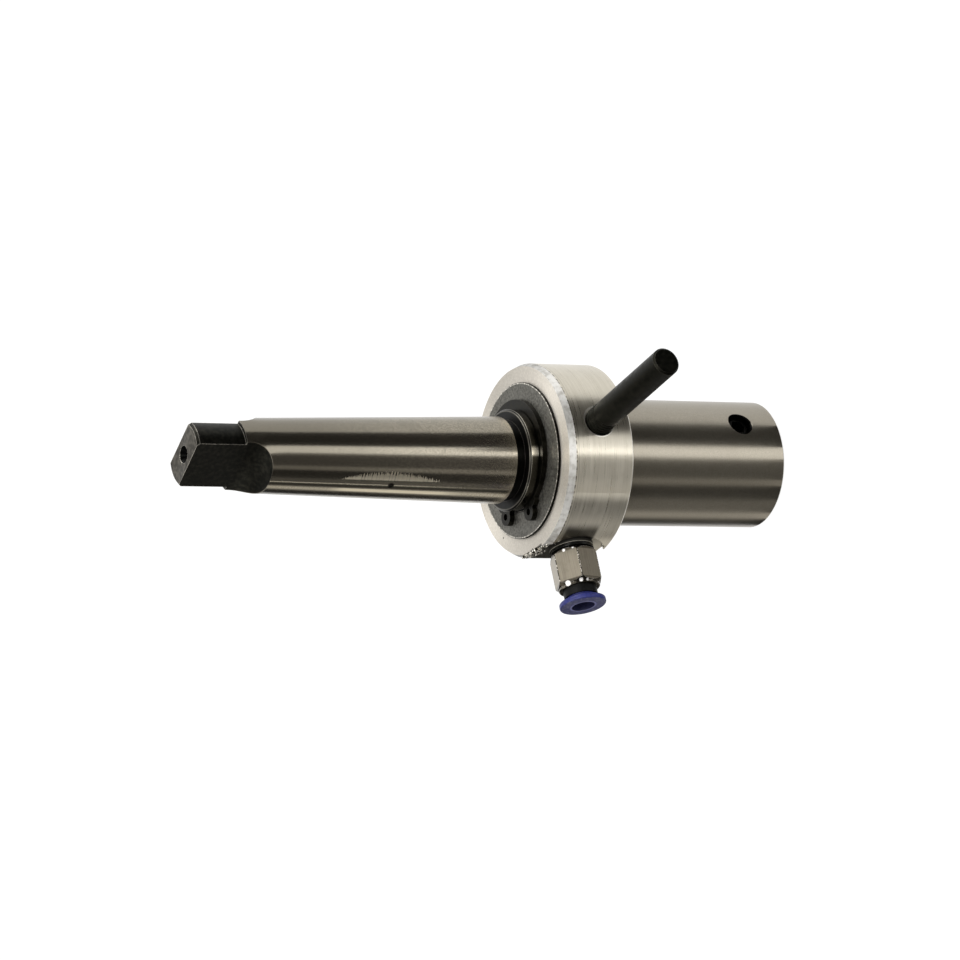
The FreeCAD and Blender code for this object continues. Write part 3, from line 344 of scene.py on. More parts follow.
def ring_finish():
    alu = Finish("Turned aluminium", Metallic=1.0, Anisotropic=0.7, Anisotropic_Rotation=0.25)
    radius, angle, height = cylinder = alu.turned_metal()
    face = alu.span(alu.math("ABSOLUTE", alu.xyz(alu.normal())[2]), 0.5, 0.9)

    tool = alu.turned_noise(cylinder, 1.6, 1500.0, 2400.0, detail=5.0, roughness=0.6)
    coarse = alu.turned_noise(cylinder, 3.0, 260.0, 500.0, detail=3.0)
    cloud = alu.noise(alu.place, 240.0, detail=4.0)
    speck = alu.span(alu.noise(alu.place, 2100.0, detail=3.0), 0.35, 0.7)
    base = alu.blend(alu.span(tool, 0.3, 0.72), colour(190, 184, 169), colour(203, 197, 183))
    base = alu.blend(alu.both(alu.span(coarse, 0.5, 0.8), 0.18), base, colour(160, 153, 138))
    base = alu.blend(alu.both(alu.span(cloud, 0.55, 0.8), 0.25), base, colour(160, 153, 138))
    base = alu.blend(alu.both(face, 0.8), base, alu.blend(speck, colour(203, 197, 187), colour(218, 212, 202)))

    # The dashed burr on the bevel's outer edge, a painted highlight crescent at the rod, the turned line,
    # bright edges
    dashes = alu.span(alu.turned_noise(cylinder, 22.0, 0.0, 0.0, detail=3.0), 0.46, 0.56)
    burr = alu.both(alu.line(height, BEVEL_LEVEL - 0.12 * MM, 0.22 * MM), dashes)
    from_rod, turn, reach = alu.turned(outward(ROD_ANGLE), RING_MIDDLE)
    rod_painted_highlight = alu.both(alu.line(from_rod, 4.45 * MM, 0.3 * MM), alu.span(reach, 25 * MM, 25.3 * MM))
    turned_line = alu.both(alu.line(height, 71.9 * MM, 0.16 * MM), alu.span(radius, 26 * MM, 26.5 * MM))
    base = alu.blend(alu.both(burr, 0.85), base, colour(58, 54, 46))
    base = alu.blend(alu.both(rod_painted_highlight, 0.8), base, colour(246, 242, 232))
    base = alu.blend(alu.both(turned_line, 0.3), base, colour(104, 99, 87))
    base = alu.blend(alu.both(alu.worn_edge(0.3 * MM, 4.0), 0.4), base, colour(230, 225, 214))

    # Painted shade on the spot face and the metal above it, for the fitting's shadow and dark reflection
    across, along, reach = alu.xyz(alu.add("Mapping", {"Vector": alu.place, "Rotation": (0, 0, -PORT_ANGLE)}))
    beside, above = alu.math("ADD", along, SEAT_ASIDE), alu.math("SUBTRACT", height, PORT_LEVEL)
    spot = alu.math("SQRT", alu.math("ADD", alu.both(beside, beside), alu.both(above, above)))
    floor = alu.both(alu.span(across, 25.2 * MM, 25.3 * MM), alu.below(spot, 10.65 * MM, 10.75 * MM))
    side = alu.both(alu.span(angle, math.radians(-128), math.radians(-136)), alu.span(angle, -2.9, -2.8))
    near = alu.between(height, (61 * MM, 62 * MM), (70.5 * MM, 72.5 * MM))
    wear_and_shade = alu.both(alu.both(side, near), alu.span(radius, 25 * MM, 25.2 * MM))
    base = alu.blend(alu.both(alu.either(floor, wear_and_shade), 0.88), base, colour(60, 56, 46))

    # The back's chamfer and the seat's far end catch the light; a pit; the chipped bevel
    back = alu.both(alu.line(height, RING_BACK + 0.25 * MM, 0.4 * MM), alu.span(radius, 26.2 * MM, 26.4 * MM))
    pit = alu.span(alu.away(-21.4, 9.84, 74.6), 0.16 * MM, 0.42 * MM, 0.9, 0.0)
    bevel = alu.both(alu.span(height, BEVEL_LEVEL, BEVEL_LEVEL + 0.05 * MM), alu.math("SUBTRACT", 1.0, face))
    chips = alu.span(alu.turned_noise(cylinder, 14.0, 0.0, 700.0, detail=3.0), 0.4, 0.7)
    far = alu.both(floor, alu.below(height, 60.0 * MM, 61.0 * MM))
    base = alu.blend(alu.both(back, 0.9), base, colour(246, 242, 232))
    base = alu.blend(pit, base, colour(40, 36, 31))
    base = alu.blend(alu.both(bevel, 0.9), base, alu.blend(chips, colour(186, 185, 182), colour(148, 146, 141)))
    base = alu.blend(far, base, colour(236, 230, 214))
    rough = alu.math("ADD", alu.span(tool, 0.3, 0.7, 0.27, 0.34), alu.both(face, 0.16))
    for mask, more in ((bevel, 0.3), (far, 0.4)):
        rough = alu.math("ADD", rough, alu.both(mask, more))
    relief = alu.math("ADD", tool, alu.both(coarse, 0.25))
    return alu.finish(base, rough, relief, depth=0.08, distance=0.03 * MM)


dress(ring_finish(), "coolant_ring")

# %% [markdown]
# ## Washer, circlip and black steel
# The thrust washer is blanked from sheet and tumbled, which leaves a grey grain and a bright
# rim.  The circlip and the stop rod are oil-blackened: nearly black, with a soft oily sheen.

# %% Washer and black steel
WASHER_RADIUS = 21.34 * MM


def washer_finish():
    sheet = Finish("Tumbled washer steel", Metallic=1.0)
    radius, angle, height = cylinder = sheet.turned()
    grain = sheet.noise(sheet.place, 1500.0, detail=4.0, roughness=0.7)
    spots = sheet.noise(sheet.place, 420.0, detail=3.0)
    base = sheet.blend(sheet.span(grain, 0.3, 0.7), colour(78, 77, 72), colour(126, 124, 117))
    base = sheet.blend(sheet.both(sheet.span(spots, 0.5, 0.75), 0.4), base, colour(74, 72, 66))
    broken = sheet.span(sheet.turned_noise(cylinder, 22.0, 0.0, 0.0, detail=3.0), 0.42, 0.6, 0.2, 1.0)
    rim = sheet.both(sheet.line(radius, WASHER_RADIUS, 0.22 * MM), sheet.span(height, 75.1 * MM, JOURNAL_TOP))
    base = sheet.blend(sheet.both(rim, broken), base, colour(232, 227, 216))
    outside = sheet.span(radius, WASHER_RADIUS + 0.1 * MM, WASHER_RADIUS + 0.13 * MM)
    base = sheet.blend(outside, base, colour(14, 13, 11))
    return sheet.finish(base, sheet.span(grain, 0.3, 0.7, 0.42, 0.58), grain, depth=0.5, distance=0.05 * MM)


def black_finish(name, dark, light, rough=0.42, wear=0.5):
    black = Finish(name, Metallic=1.0)
    patch = black.noise(black.place, 700.0, detail=4.0)
    base = black.blend(black.span(patch, 0.35, 0.75), dark, light)
    edge = black.both(black.worn_edge(0.2 * MM, 4.0), wear)
    base = black.blend(edge, base, colour(150, 145, 135))
    rough = black.span(patch, 0.3, 0.7, rough, rough + 0.14)
    return black.finish(base, rough, patch, depth=0.15, distance=0.03 * MM)


dress(washer_finish(), "thrust_washer")
CLIP_STEEL = black_finish("Blackened spring steel", colour(26, 25, 21), colour(42, 40, 34), rough=0.3, wear=0.2)
ROD_STEEL = black_finish("Blackened rod steel", colour(24, 24, 20), colour(34, 33, 28), rough=0.4, wear=0.25)
SCREW_STEEL = black_finish("Blackened screw steel", colour(14, 14, 12), colour(24, 23, 20), wear=0.1)
dress(CLIP_STEEL, "retaining_ring", "seat_clip")
dress(ROD_STEEL, "stop_rod")
dress(SCREW_STEEL, "right_set_screw", "left_set_screw")

# %% [markdown]
# ## Nickel, plastic and rubber on the fitting
# The fitting's body is drawn hexagon bar in brass, nickel plated: fine lines along the bar, tiny
# dents on the ridges.  The release collar is moulded in blue plastic with a matt sparked face.

# %% Fitting finishes
# Distances along the port from the arbor's axis
GASKET_SPLIT, HEX_START, HEX_END, CONE_END, COLLAR_FACE = 26.5 * MM, 28.5 * MM, 36.9 * MM, 38.2 * MM, 43.2 * MM
# Painted highlights on the two chamfers: place and size in mm
PAINTED_HIGHLIGHTS = ((-33.51, -17.97, 69.9, 1.0), (-32.33, -20.4, 67.1, 0.75), (-32.2, -20.85, 65.3, 0.55),
         (-24.4, -14.9, 69.7, 0.6), (-23.63, -16.45, 67.6, 0.5))
PORT_SIDE = Vector((-PORT_OUT.y, PORT_OUT.x, 0))


def hexagon_corner():
    """Angle of the first corner about the port's axis, read off the piece."""
    body, corners = parts["fitting_body"], []
    for vertex in body.data.vertices:
        spot = body.matrix_world @ vertex.co
        across, above = spot.dot(PORT_SIDE), spot.z - PORT_LEVEL
        if math.hypot(across, above) > 6.7 * MM:
            corners.append(math.atan2(above, across) % math.radians(60))
    print("hexagon corner from %d points" % len(corners))
    return sum(corners) / len(corners)


def nickel_finish():
    """Lines along the drawn bar, painted shade and dark reflection in the neck and under the hexagon, dented
    ridges, painted highlights.
    """
    nickel = Finish("Nickel plated brass", Metallic=1.0)
    radius, angle, reach = cylinder = nickel.turned(PORT_OUT, PORT_LEVEL)
    drawn = nickel.turned_noise(cylinder, 26.0, 400.0, 120.0, detail=3.0)
    cloud = nickel.noise(nickel.place, 520.0, detail=4.0)
    base = nickel.blend(nickel.span(drawn, 0.3, 0.7), colour(122, 115, 102), colour(135, 128, 114))
    base = nickel.blend(nickel.both(nickel.span(cloud, 0.5, 0.75), 0.3), base, colour(108, 101, 87))
    # Faces that look up are painted lighter: a painted highlight
    upward = nickel.xyz(nickel.normal())[2]
    base = nickel.blend(nickel.both(nickel.span(upward, 0.8, 0.9), 0.6), base, colour(186, 178, 162))
    # Painted shade in the neck and a painted dark reflection on the cone past the hexagon
    cone = nickel.between(reach, (HEX_END - 0.15 * MM, HEX_END + 0.05 * MM), (CONE_END, CONE_END + 0.2 * MM))
    inner = nickel.below(reach, HEX_START, HEX_START + 0.3 * MM)
    base = nickel.blend(nickel.both(nickel.either(cone, inner), 0.7), base, colour(56, 51, 43))
    dents = nickel.span(nickel.noise(nickel.place, 2600.0, detail=1.0), 0.5, 0.6)
    edge = nickel.worn_edge(0.26 * MM, 7.0)
    on_edge = nickel.blend(dents, colour(52, 47, 40), colour(246, 242, 234))
    on_ridge = nickel.blend(dents, colour(38, 34, 28), colour(206, 200, 188))
    base = nickel.blend(nickel.both(edge, 0.8), base, on_edge)
    hexagon = nickel.below(reach, HEX_END, HEX_END + 0.4 * MM)
    sixfold = nickel.math("COSINE", nickel.both(nickel.math("SUBTRACT", angle, hexagon_corner()), 6.0))
    ridge = nickel.both(nickel.span(sixfold, math.cos(6 * 0.042), math.cos(6 * 0.02)), hexagon)
    base = nickel.blend(nickel.both(ridge, 0.9), base, on_ridge)
    rough = nickel.math("ADD", nickel.span(drawn, 0.3, 0.7, 0.1, 0.16), nickel.both(hexagon, 0.2))
    # Painted highlights: near-white, rough spots on the chamfers
    for x, y, z, size in PAINTED_HIGHLIGHTS:
        spot = nickel.below(nickel.away(x, y, z), size * 0.55 * MM, size * MM)
        base = nickel.blend(spot, base, colour(255, 253, 250))
        rough = nickel.either(rough, nickel.both(spot, 0.7))
    return nickel.finish(base, rough, drawn, depth=0.1, distance=0.03 * MM)


def plastic_finish(name, dark, light, rough, sheen=0.5):
    plastic = Finish(name, Specular_IOR_Level=sheen)
    patch = plastic.noise(plastic.place, 1800.0, detail=3.0)
    wide = plastic.noise(plastic.place, 330.0, detail=2.0)
    base = plastic.blend(plastic.span(patch, 0.35, 0.7), dark, light)
    base = plastic.blend(plastic.both(plastic.span(wide, 0.45, 0.8), 0.3), base, dark)
    rough = plastic.span(patch, 0.3, 0.7, rough, rough + 0.12)
    return plastic.finish(base, rough, patch, depth=0.2, distance=0.05 * MM)


def collar_finish():
    """Matt blue, with a darker scuffed face and a pale line round its hole."""
    blue = Finish("Blue moulded plastic", Specular_IOR_Level=0.45)
    radius, angle, reach = blue.turned(PORT_OUT, PORT_LEVEL)
    grain = blue.noise(blue.place, 2400.0, detail=3.0)
    face = blue.span(reach, COLLAR_FACE, COLLAR_FACE + 0.25 * MM)
    scuff = blue.span(blue.noise(blue.place, 800.0, detail=4.0, distortion=1.0), 0.5, 0.62)
    base = blue.blend(blue.span(grain, 0.3, 0.7), colour(24, 29, 86), colour(34, 41, 108))
    base = blue.blend(blue.both(face, 0.6), base, colour(28, 29, 50))
    base = blue.blend(blue.both(blue.both(face, scuff), 0.6), base, colour(78, 78, 98))
    lip = blue.line(radius, 3.45 * MM, 0.3 * MM)
    base = blue.blend(blue.both(blue.both(face, lip), 0.5), base, colour(104, 104, 150))
    base = blue.blend(blue.span(radius, 3.2 * MM, 3.35 * MM, 0.8, 0.0), base, colour(30, 30, 44))
    return blue.finish(base, blue.span(grain, 0.3, 0.7, 0.3, 0.45), grain, depth=0.2, distance=0.04 * MM)


def gasket_finish():
    """Bonded seal: a dull metal ring below, a thin bright edge, black rubber above."""
    seal = Finish("Bonded seal", Specular_IOR_Level=0.3)
    radius, angle, reach = seal.turned(PORT_OUT, PORT_LEVEL)
    grain = seal.noise(seal.place, 1800.0, detail=3.0)
    low = seal.below(reach, GASKET_SPLIT, GASKET_SPLIT + 0.1 * MM)
    base = seal.blend(seal.span(grain, 0.35, 0.7), colour(5, 5, 4), colour(14, 14, 12))
    base = seal.blend(low, base, colour(26, 24, 19))
    base = seal.blend(seal.both(seal.line(reach, GASKET_SPLIT, 0.13 * MM), 0.75), base, colour(132, 128, 116))
    return seal.finish(base, seal.math("ADD", 0.2, seal.both(low, 0.4)), grain, depth=0.2, distance=0.05 * MM)


dress(nickel_finish(), "fitting_body")
dress(gasket_finish(), "fitting_gasket")
dress(collar_finish(), "release_collar")
RUBBER = plastic_finish("Black rubber", colour(5, 5, 4), colour(12, 12, 11), 0.2, sheen=0.3)
dress(RUBBER, "upper_seal", "lower_seal", "tube_seal", "plunger_seal")
dress(plastic_finish("Black plastic", colour(6, 6, 5), colour(14, 14, 12), 0.4, sheen=0.15), "fitting_guide")
dress(plastic_finish("White plastic", colour(206, 204, 196), colour(226, 224, 217), 0.35), "backing_ring")

# %% [markdown]
# ## Steel inside the arbor
# The plunger, its spring and the seat washer are bright turned or drawn steel.  They only show
# when someone looks up the socket, but a cutaway or a pose brings them into the light.

# %% Inner steel
def bright_finish(name, dark, light, rough):
    steel = Finish(name, Metallic=1.0)
    marks = steel.turned_noise(steel.turned(), 0.6, 1200.0, 2400.0)
    base = steel.blend(steel.span(marks, 0.3, 0.7), dark, light)
    base = steel.blend(steel.both(steel.worn_edge(0.15 * MM, 4.0), 0.6), base, colour(225, 222, 214))
    rough = steel.span(marks, 0.3, 0.7, rough, rough + 0.1)
    return steel.finish(base, rough, marks, depth=0.15, distance=0.03 * MM)


TURNED_STEEL = bright_finish("Turned plunger steel", colour(118, 115, 108), colour(160, 156, 148), 0.28)
SPRING_STEEL = bright_finish("Drawn spring steel", colour(104, 101, 95), colour(168, 164, 156), 0.22)
dress(TURNED_STEEL, "plunger", "seat_washer")
dress(SPRING_STEEL, "grab_ring")

# %% [markdown]
# ## Geometry Nodes trees
# What is grown rather than drawn comes out of small trees with named inputs.  Each tree starts as
# a Growth, which adds its nodes and ends it in a plain mesh with a material.  A thread is a ridge
# that follows a helix: a spiral carries a small square profile with one corner outwards.

# %% Growth and thread tree
class Growth:
    """A Geometry Nodes tree with named inputs that ends in one plain mesh with a material."""

    KINDS = {float: "NodeSocketFloat", int: "NodeSocketInt", tuple: "NodeSocketVector"}

    def __init__(self, name, **inputs):
        self.tree = bpy.data.node_groups.new(name, "GeometryNodeTree")
        face = self.tree.interface
        for key, value in inputs.items():
            socket = face.new_socket(name=key, in_out="INPUT", socket_type=self.KINDS[type(value)])
            socket.default_value = value
        face.new_socket(name="Finish", in_out="INPUT", socket_type="NodeSocketMaterial")
        face.new_socket(name="Mesh", in_out="OUTPUT", socket_type="NodeSocketGeometry")
        self.given = add_node(self.tree, "NodeGroupInput")

    def node(self, kind, values=(), **settings):
        return add_node(self.tree, "GeometryNode" + kind, values, **settings)[0]

    def math(self, operation, *values):
        return add_node(self.tree, "ShaderNodeMath", dict(enumerate(values)), operation=operation)[0]

    def random(self, low, high, offset):
        """A random vector for each point; low and high are its corners."""
        values = {0: low, 1: high, "Seed": self.math("ADD", self.given["Seed"], offset)}
        return add_node(self.tree, "FunctionNodeRandomValue", values, data_type="FLOAT_VECTOR")[0]

    def helix(self, resolution):
        given = self.given
        return self.node("CurveSpiral", {
            "Resolution": resolution, "Rotations": given["Turns"], "Height": given["Length"],
            "Start Radius": given["Radius"], "End Radius": given["Radius"]})

    def swept(self, curve, corners, radius):
        """Carry a round profile with so many corners along a curve."""
        profile = self.node("CurvePrimitiveCircle", {"Resolution": corners, "Radius": radius}, mode="RADIUS")
        return self.node("CurveToMesh", {"Curve": curve, "Profile Curve": profile, "Fill Caps": True})

    def done(self, shape):
        real = self.node("RealizeInstances", {0: shape})
        coat = self.node("SetMaterial", {"Geometry": real, "Material": self.given["Finish"]})
        add_node(self.tree, "NodeGroupOutput", {0: coat})
        return self.tree


def thread_tree():
    thread = Growth("Thread ridge", Radius=0.004, Length=0.005, Turns=4.0, Ridge=0.0006)
    level = thread.node("SetCurveNormal", {0: thread.helix(48)}, mode="Z_UP")
    return thread.done(thread.swept(level, 4, thread.given["Ridge"]))


THREAD = thread_tree()


def grown(name, tree, body, slot, place, **values):
    """Run a node tree on an empty mesh, keep the plain result, set it in place and let it ride."""
    seed = bpy.data.objects.new(name + "_seed", bpy.data.meshes.new(name + "_seed"))
    bpy.context.scene.collection.objects.link(seed)
    step = seed.modifiers.new("grow", "NODES")
    step.node_group = tree
    sockets = {item.name: item.identifier for item in tree.interface.items_tree if item.in_out == "INPUT"}
    for key, value in values.items():
        step[sockets[key]] = value
    shown = seed.evaluated_get(bpy.context.evaluated_depsgraph_get())
    mesh = bpy.data.meshes.new_from_object(shown)
    bpy.data.objects.remove(seed)
    mesh.name = name
    mesh.transform(place)
    return settled(name, mesh, body)


def settled(name, mesh, body):
    """Close a mesh's seams, point its faces outwards and hand it to a body."""
    work = bmesh.new()
    work.from_mesh(mesh)
    bmesh.ops.remove_doubles(work, verts=work.verts, dist=0.001 * MM)
    bmesh.ops.recalc_face_normals(work, faces=work.faces)
    work.to_mesh(mesh)
    work.free()
    piece = bpy.data.objects.new(name, mesh)
    bpy.context.scene.collection.objects.link(piece)
    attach(piece, body)
    print("%-22s %6d faces on %s" % (name, len(mesh.polygons), body))
    return piece


def radial_place(angle, level, reach):
    """Lay a piece drawn along Z on a radius of the arbor, starting at a reach."""
    direction = outward(angle)
    turn = direction.to_track_quat("Z", "Y").to_matrix().to_4x4()
    return Matrix.Translation(direction * reach + AXIS_UP * level) @ turn


# %% [markdown]
# ## The rod's thread and the set screws' threads
# The stop rod screws into the ring and shows the last turns of its thread before its plain shank.
# The set screws have a pitch of 1 mm and sit loosened in their holes.

# %% Threads
grown("rod_thread", THREAD, "ring", "black_steel", radial_place(ROD_ANGLE, RING_MIDDLE, 26.2 * MM),
      Radius=3.62 * MM, Length=5.2 * MM, Turns=4.6, Ridge=0.36 * MM, Finish=ROD_STEEL)
for side, angle in zip(("right", "left"), SCREW_ANGLES):
    grown(side + "_screw_thread", THREAD, side + "_screw", "black_steel",
          radial_place(angle, SCREW_LEVEL, 10.75 * MM),
          Radius=3.28 * MM, Length=4.5 * MM, Turns=4.5, Ridge=0.16 * MM, Finish=SCREW_STEEL)

# %% [markdown]
# ## The plunger's spring
# The drawing's spring is stiff, and the plunger would rise through it.  This one is wound by a
# tree of its own, with closed ends that are ground flat.  The share it keeps is its length less
# the stroke.

# %% Spring
SPRING_TURNS, SPRING_WIRE, STROKE = 6.5, 1.1 * MM, 8.0 * MM
spring_low, spring_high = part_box("plunger_spring")
SPRING_LENGTH = spring_high.z - spring_low.z


def spring_tree():
    coil = Growth("Wound spring", Radius=0.005, Length=0.02, Turns=6.0, Wire=0.0005, Closing=0.5)
    length = coil.given["Length"]

    # Closed ends: the rise is slow at both ends and quick in the middle
    share = coil.node("SplineParameter")
    wave = coil.math("SINE", coil.math("MULTIPLY", share, 2 * math.pi))
    lag = coil.math("MULTIPLY", coil.math("MULTIPLY", wave, coil.given["Closing"]), -1 / (2 * math.pi))
    drop = add_node(coil.tree, "ShaderNodeCombineXYZ", {2: coil.math("MULTIPLY", lag, length)})[0]
    closed = coil.node("SetPosition", {"Geometry": coil.helix(40), "Offset": drop})
    wire = coil.swept(closed, 12, coil.given["Wire"])

    # Ground ends: nothing stands past the spring's length
    x, y, z = add_node(coil.tree, "ShaderNodeSeparateXYZ", {0: coil.node("InputPosition")})
    within = coil.math("MINIMUM", coil.math("MAXIMUM", z, 0.0), length)
    place = add_node(coil.tree, "ShaderNodeCombineXYZ", {0: x, 1: y, 2: within})[0]
    return coil.done(coil.node("SetPosition", {"Geometry": wire, "Position": place}))


spring = grown("wound_spring", spring_tree(), "arbor", "spring_steel",
               Matrix.Translation(AXIS_UP * spring_low.z), Radius=4.75 * MM, Length=SPRING_LENGTH,
               Turns=SPRING_TURNS, Wire=SPRING_WIRE / 2, Closing=0.5, Finish=SPRING_STEEL)
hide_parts("plunger_spring")
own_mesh(spring)
print("spring %.2f mm long, keeps %.2f of it" % (SPRING_LENGTH / MM, 1 - STROKE / SPRING_LENGTH))

# %% [markdown]
# ## Burrs round the fitting's seat
# The spot face for the fitting is wider than the ring, so the cutter broke out through both
# ends and pushed ragged lips of soft aluminium over the edge.  A node tree strews small torn
# lumps of random size and lean along a line; a short list tells where each lip runs.

# %% Burr tree
def burr_tree():
    lip = Growth("Torn lip", Start=(0.0, 0.0, 0.0), End=(0.01, 0.0, 0.0), Count=20, Size=0.0005, Seed=1)
    given, strewn, torn = lip.given, Vector((1, 1, 1)) * 0.22 * MM, Vector((1, 1, 1)) * 0.16 * MM
    edge = lip.node("CurvePrimitiveLine", {"Start": given["Start"], "End": given["End"]})
    points = lip.node("CurveToPoints", {"Curve": edge, "Count": given["Count"]}, mode="COUNT")
    points = lip.node("SetPosition", {"Geometry": points, "Offset": lip.random(-strewn, strewn, 1)})
    chip = lip.node("MeshIcoSphere", {"Subdivisions": 2, "Radius": given["Size"]})
    chip = lip.node("SetPosition", {"Geometry": chip, "Offset": lip.random(-torn, torn, 2)})
    return lip.done(lip.node("InstanceOnPoints", {
        "Points": points, "Instance": chip, "Scale": lip.random((0.5, 0.3, 0.4), (1.5, 0.8, 1.3), 3),
        "Rotation": lip.random((-0.7, -0.7, -3.1), (0.7, 0.7, 3.1), 4)}))


def seat_point(across, height, reach):
    """A point by the fitting's seat, in mm: across round the ring, up the arbor, out from its axis."""
    return (PORT_OUT * reach + PORT_SIDE * across + AXIS_UP * height) * MM


def lip_finish():
    lip = Finish("Torn aluminium", Metallic=1.0)
    patch = lip.noise(lip.place, 1300.0, detail=2.0)
    # Patches of painted shade among the bright torn metal, for the lumps' shadows
    base = lip.blend(lip.span(patch, 0.42, 0.6), colour(52, 48, 40), colour(240, 236, 226))
    return lip.finish(base, 0.3, patch, depth=0.3)


BURR, LIP = burr_tree(), lip_finish()
# Each lip: where it starts and ends at the seat, how many lumps, and their size in mm
LIPS = (("front_lip", (-9.0, 74.6, 25.0), (-1.4, 74.5, 25.95), 38, 0.62),
        ("seat_lip", (-7.4, 73.7, 25.5), (-2.8, 72.5, 25.6), 18, 0.52),
        ("inner_lip", (-6.2, 72.3, 25.45), (-3.8, 71.3, 25.5), 9, 0.42),
        ("bevel_lip", (-1.6, 74.5, 25.9), (2.6, 73.5, 26.3), 20, 0.46),
        ("side_lip", (2.6, 73.4, 26.3), (5.0, 71.6, 26.4), 10, 0.28),
        ("back_lip", (-0.4, 54.8, 25.3), (3.2, 55.4, 26.0), 16, 0.36))
for name, start, end, count, size in LIPS:
    grown(name, BURR, "ring", "turned_aluminium", Matrix.Identity(4), Start=seat_point(*start),
          End=seat_point(*end), Count=count, Size=size * MM, Seed=7, Finish=LIP)

# %% [markdown]
# ## Floor, world and light
# A product shot on white: the floor and the world are white to the camera and in reflections,
# and softly lit to everything else.  Seen from below the floor is clear, so that the socket can
# be looked into.

# %% Floor and world
WHITE = (1, 1, 1, 1)


def blank_material(name):
    material = bpy.data.materials.new(name)
    material.use_nodes = True
    material.node_tree.nodes.clear()
    return material


def staged(name, points, faces, material, **hidden):
    """A piece of the studio; hidden names the kinds of ray that pass it by."""
    mesh = bpy.data.meshes.new(name)
    mesh.from_pydata(points, [], faces)
    mesh.materials.append(material)
    stand = bpy.data.objects.new(name, mesh)
    bpy.context.scene.collection.objects.link(stand)
    for key, value in hidden.items():
        setattr(stand, key, value)


def level_square(size, height):
    """Corners and the one face of a flat square about the axis."""
    corners = ((-size, -size), (size, -size), (size, size), (-size, size))
    return [(x, y, height) for x, y in corners], [(0, 1, 2, 3)]


def seen_rays(tree):
    """One for rays of the camera, of reflections and through glass, nothing for the rest."""
    rays = add_node(tree, "ShaderNodeLightPath")
    seen = rays["Is Camera Ray"]
    for kind in ("Is Glossy Ray", "Is Transmission Ray"):
        seen = add_node(tree, "ShaderNodeMath", {0: seen, 1: rays[kind]}, operation="MAXIMUM")[0]
    return seen


def floor_material():
    material = blank_material("White floor")
    tree = material.node_tree
    matt = add_node(tree, "ShaderNodeBsdfDiffuse", {"Color": (0.8, 0.8, 0.8, 1)})[0]
    faint = add_node(tree, "ShaderNodeBsdfDiffuse", {"Color": (0.12, 0.12, 0.12, 1)})[0]
    glow = add_node(tree, "ShaderNodeEmission", {"Strength": 0.92})[0]
    shown = add_node(tree, "ShaderNodeAddShader", {0: glow, 1: faint})[0]
    above = add_node(tree, "ShaderNodeMixShader", {0: seen_rays(tree), 1: matt, 2: shown})[0]
    from_below = add_node(tree, "ShaderNodeNewGeometry")["Backfacing"]
    clear = add_node(tree, "ShaderNodeBsdfTransparent")[0]
    sided = add_node(tree, "ShaderNodeMixShader", {0: from_below, 1: above, 2: clear})[0]
    add_node(tree, "ShaderNodeOutputMaterial", {0: sided})
    return material


def white_world():
    world = bpy.context.scene.world = bpy.data.worlds.new("Studio")
    world.use_nodes = True
    tree = world.node_tree
    tree.nodes.clear()
    soft = add_node(tree, "ShaderNodeBackground", {"Color": WHITE, "Strength": 0.55})[0]
    white = add_node(tree, "ShaderNodeBackground", {"Color": WHITE})[0]
    mixed = add_node(tree, "ShaderNodeMixShader", {0: seen_rays(tree), 1: soft, 2: white})[0]
    add_node(tree, "ShaderNodeOutputWorld", {0: mixed})


staged("floor", *level_square(6, -0.2 * MM), floor_material())
white_world()

# %% [markdown]
# ## Cards
# Turned metal shows what stands around it, so cards of chosen greys give the bands that make
# steel look round.  Each is a wedge on the floor and a curved wall behind it.  Angles are counted
# from the camera's side towards +X.  A card's edge starts on the head's own outline and runs the
# way the head mirrors the camera's sight, so the bands stay straight along the metal right to its
# end.  The cards throw no shadow and the camera looks through them.  One more hangs overhead,
# where only the turned face of the ring mirrors it.

# %% Cards
# Each card: from which angle to which, in degrees, and its grey
CARDS = (("card_right", 32, 77, 0.06), ("card_shoulder", 5, 10, 0.45), ("card_middle", -28, 5, 0.17),
         ("card_strip", -40, -28, 0.5), ("card_left", -68, -40, 0.06), ("card_side", -100, -68, 0.22),
         ("card_edge", -119, -100, 0.85), ("card_low", -148, -119, 0.04))
CARD_REACH, CARD_HEIGHT, CARD_STEPS = 0.7, 0.7, 16


def card(name, points, faces, tint):
    material = blank_material(name)
    glow = add_node(material.node_tree, "ShaderNodeEmission", {"Color": (*tint, 1)})[0]
    add_node(material.node_tree, "ShaderNodeOutputMaterial", {0: glow})
    staged(name, points, faces, material, visible_camera=False, visible_diffuse=False, visible_shadow=False,
           visible_transmission=False)


def standing_card(name, start, end, shade):
    points, faces = [], []
    for i in range(CARD_STEPS + 1):
        angle = math.radians(start + (end - start) * i / CARD_STEPS)
        foot = Vector((math.sin(angle / 2), -math.cos(angle / 2), 0)) * HEAD_RADIUS
        far = foot + Vector((math.sin(angle), -math.cos(angle), 0)) * CARD_REACH
        points += [foot, far, far + AXIS_UP * CARD_HEIGHT]
    for a in range(0, 3 * CARD_STEPS, 3):
        faces += [(a, a + 1, a + 4, a + 3), (a + 1, a + 2, a + 5, a + 4)]
    card(name, points, faces, (shade, shade * 0.97, shade * 0.92))


for row in CARDS:
    standing_card(*row)
card("card_over", *level_square(0.5, 1.3), (0.25, 0.25, 0.25))

# %% [markdown]
# ## Lamps
# Four soft boxes stand above.  Three more light the ring alone and one the arbor alone, from
# below the floor: a cylinder seen from above mirrors what lies below it, so only there does a
# lamp draw a band on it and leave the faces and the bevel alone.  Only the piece itself blocks
# such a lamp, so the floor lets its light through.

# %% Lamps
LAMP_AIM = Vector((0, 0, 90 * MM))


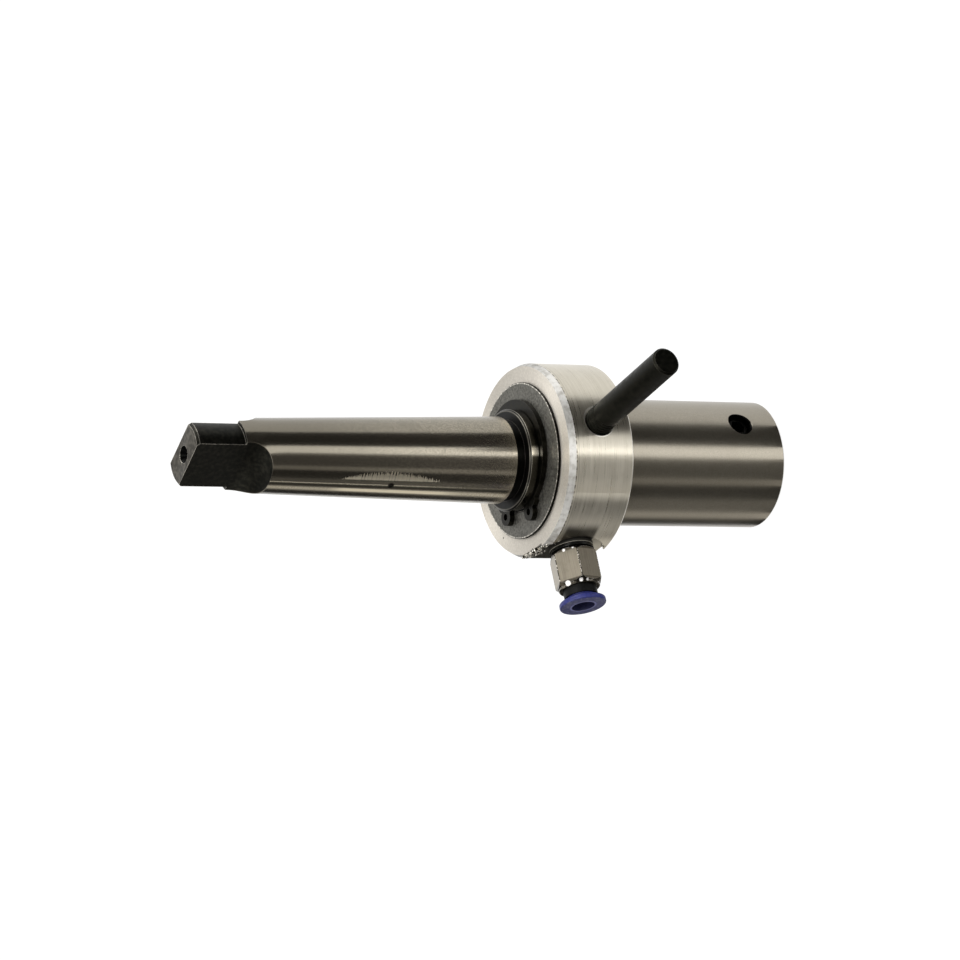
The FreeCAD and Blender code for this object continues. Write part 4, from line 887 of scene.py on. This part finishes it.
def lamp(name, azimuth, elevation, distance, width, height, power, only=None):
    """A soft box, lighting all or one piece alone; its angle is counted like a card's."""
    turn, lift = math.radians(azimuth), math.radians(elevation)
    away = Vector((math.sin(turn) * math.cos(lift), -math.cos(turn) * math.cos(lift), math.sin(lift)))
    data = bpy.data.lights.new(name, "AREA")
    data.shape, data.size, data.size_y, data.energy = "RECTANGLE", width, height, power
    box = bpy.data.objects.new(name, data)
    box.location = LAMP_AIM + away * distance
    box.rotation_euler = away.to_track_quat("Z", "Y").to_euler()
    bpy.context.scene.collection.objects.link(box)
    if only:
        for role in ("receiver_collection", "blocker_collection"):
            chosen = bpy.data.collections.new("%s %s" % (name, role))
            chosen.objects.link(only)
            setattr(box.light_linking, role, chosen)


lamp("key", 16, 38, 1.1, 0.11, 0.7, 5.0)
lamp("low_side", -72, 30, 1.0, 0.16, 0.7, 4.0)
lamp("top_side", 105, 35, 1.1, 0.9, 0.9, 10.0)
lamp("over", 0, 80, 1.0, 0.6, 0.6, 3.0)
# Each low lamp: the piece it lights, its angle, its width and its power
LOW_LAMPS = (("coolant_ring", "ring_fill", 2, 0.34, 5.0), ("coolant_ring", "ring_strip", -33, 0.12, 1.9),
             ("coolant_ring", "ring_side", -73, 0.3, 3.2), ("arbor_body", "arbor_key", 21, 0.36, 1.2))
LOW_ELEVATION, LOW_DISTANCE, LOW_LENGTH = -29, 1.1, 0.9
for piece, name, azimuth, width, power in LOW_LAMPS:
    lamp(name, azimuth, LOW_ELEVATION, LOW_DISTANCE, width, LOW_LENGTH, power, only=parts[piece])

# %% [markdown]
# ## Camera
# The view was solved from the circles of the ring, the head and the taper.  The arbor stands
# upright in the model and lies across the picture, so the camera is rolled by a quarter turn.

# %% Camera
def add_camera():
    data = bpy.data.cameras.new("camera")
    data.sensor_width, data.lens, data.clip_start, data.clip_end = 36, 190.3, 0.05, 20
    camera = bpy.data.objects.new("camera", data)
    right, up = (0.01245493, -0.487366959, -0.87310843), (0.99989827, 0, 0.01426359)
    back = (-0.0069516, -0.873197256, 0.48731738)
    place = Matrix((right, up, back)).transposed().to_4x4()
    place.translation = Vector((-0.01519, -1.21614, 0.76649))
    camera.matrix_world = place
    bpy.context.scene.collection.objects.link(camera)
    bpy.context.scene.camera = camera


add_camera()
bpy.context.scene.view_settings.view_transform = "Standard"
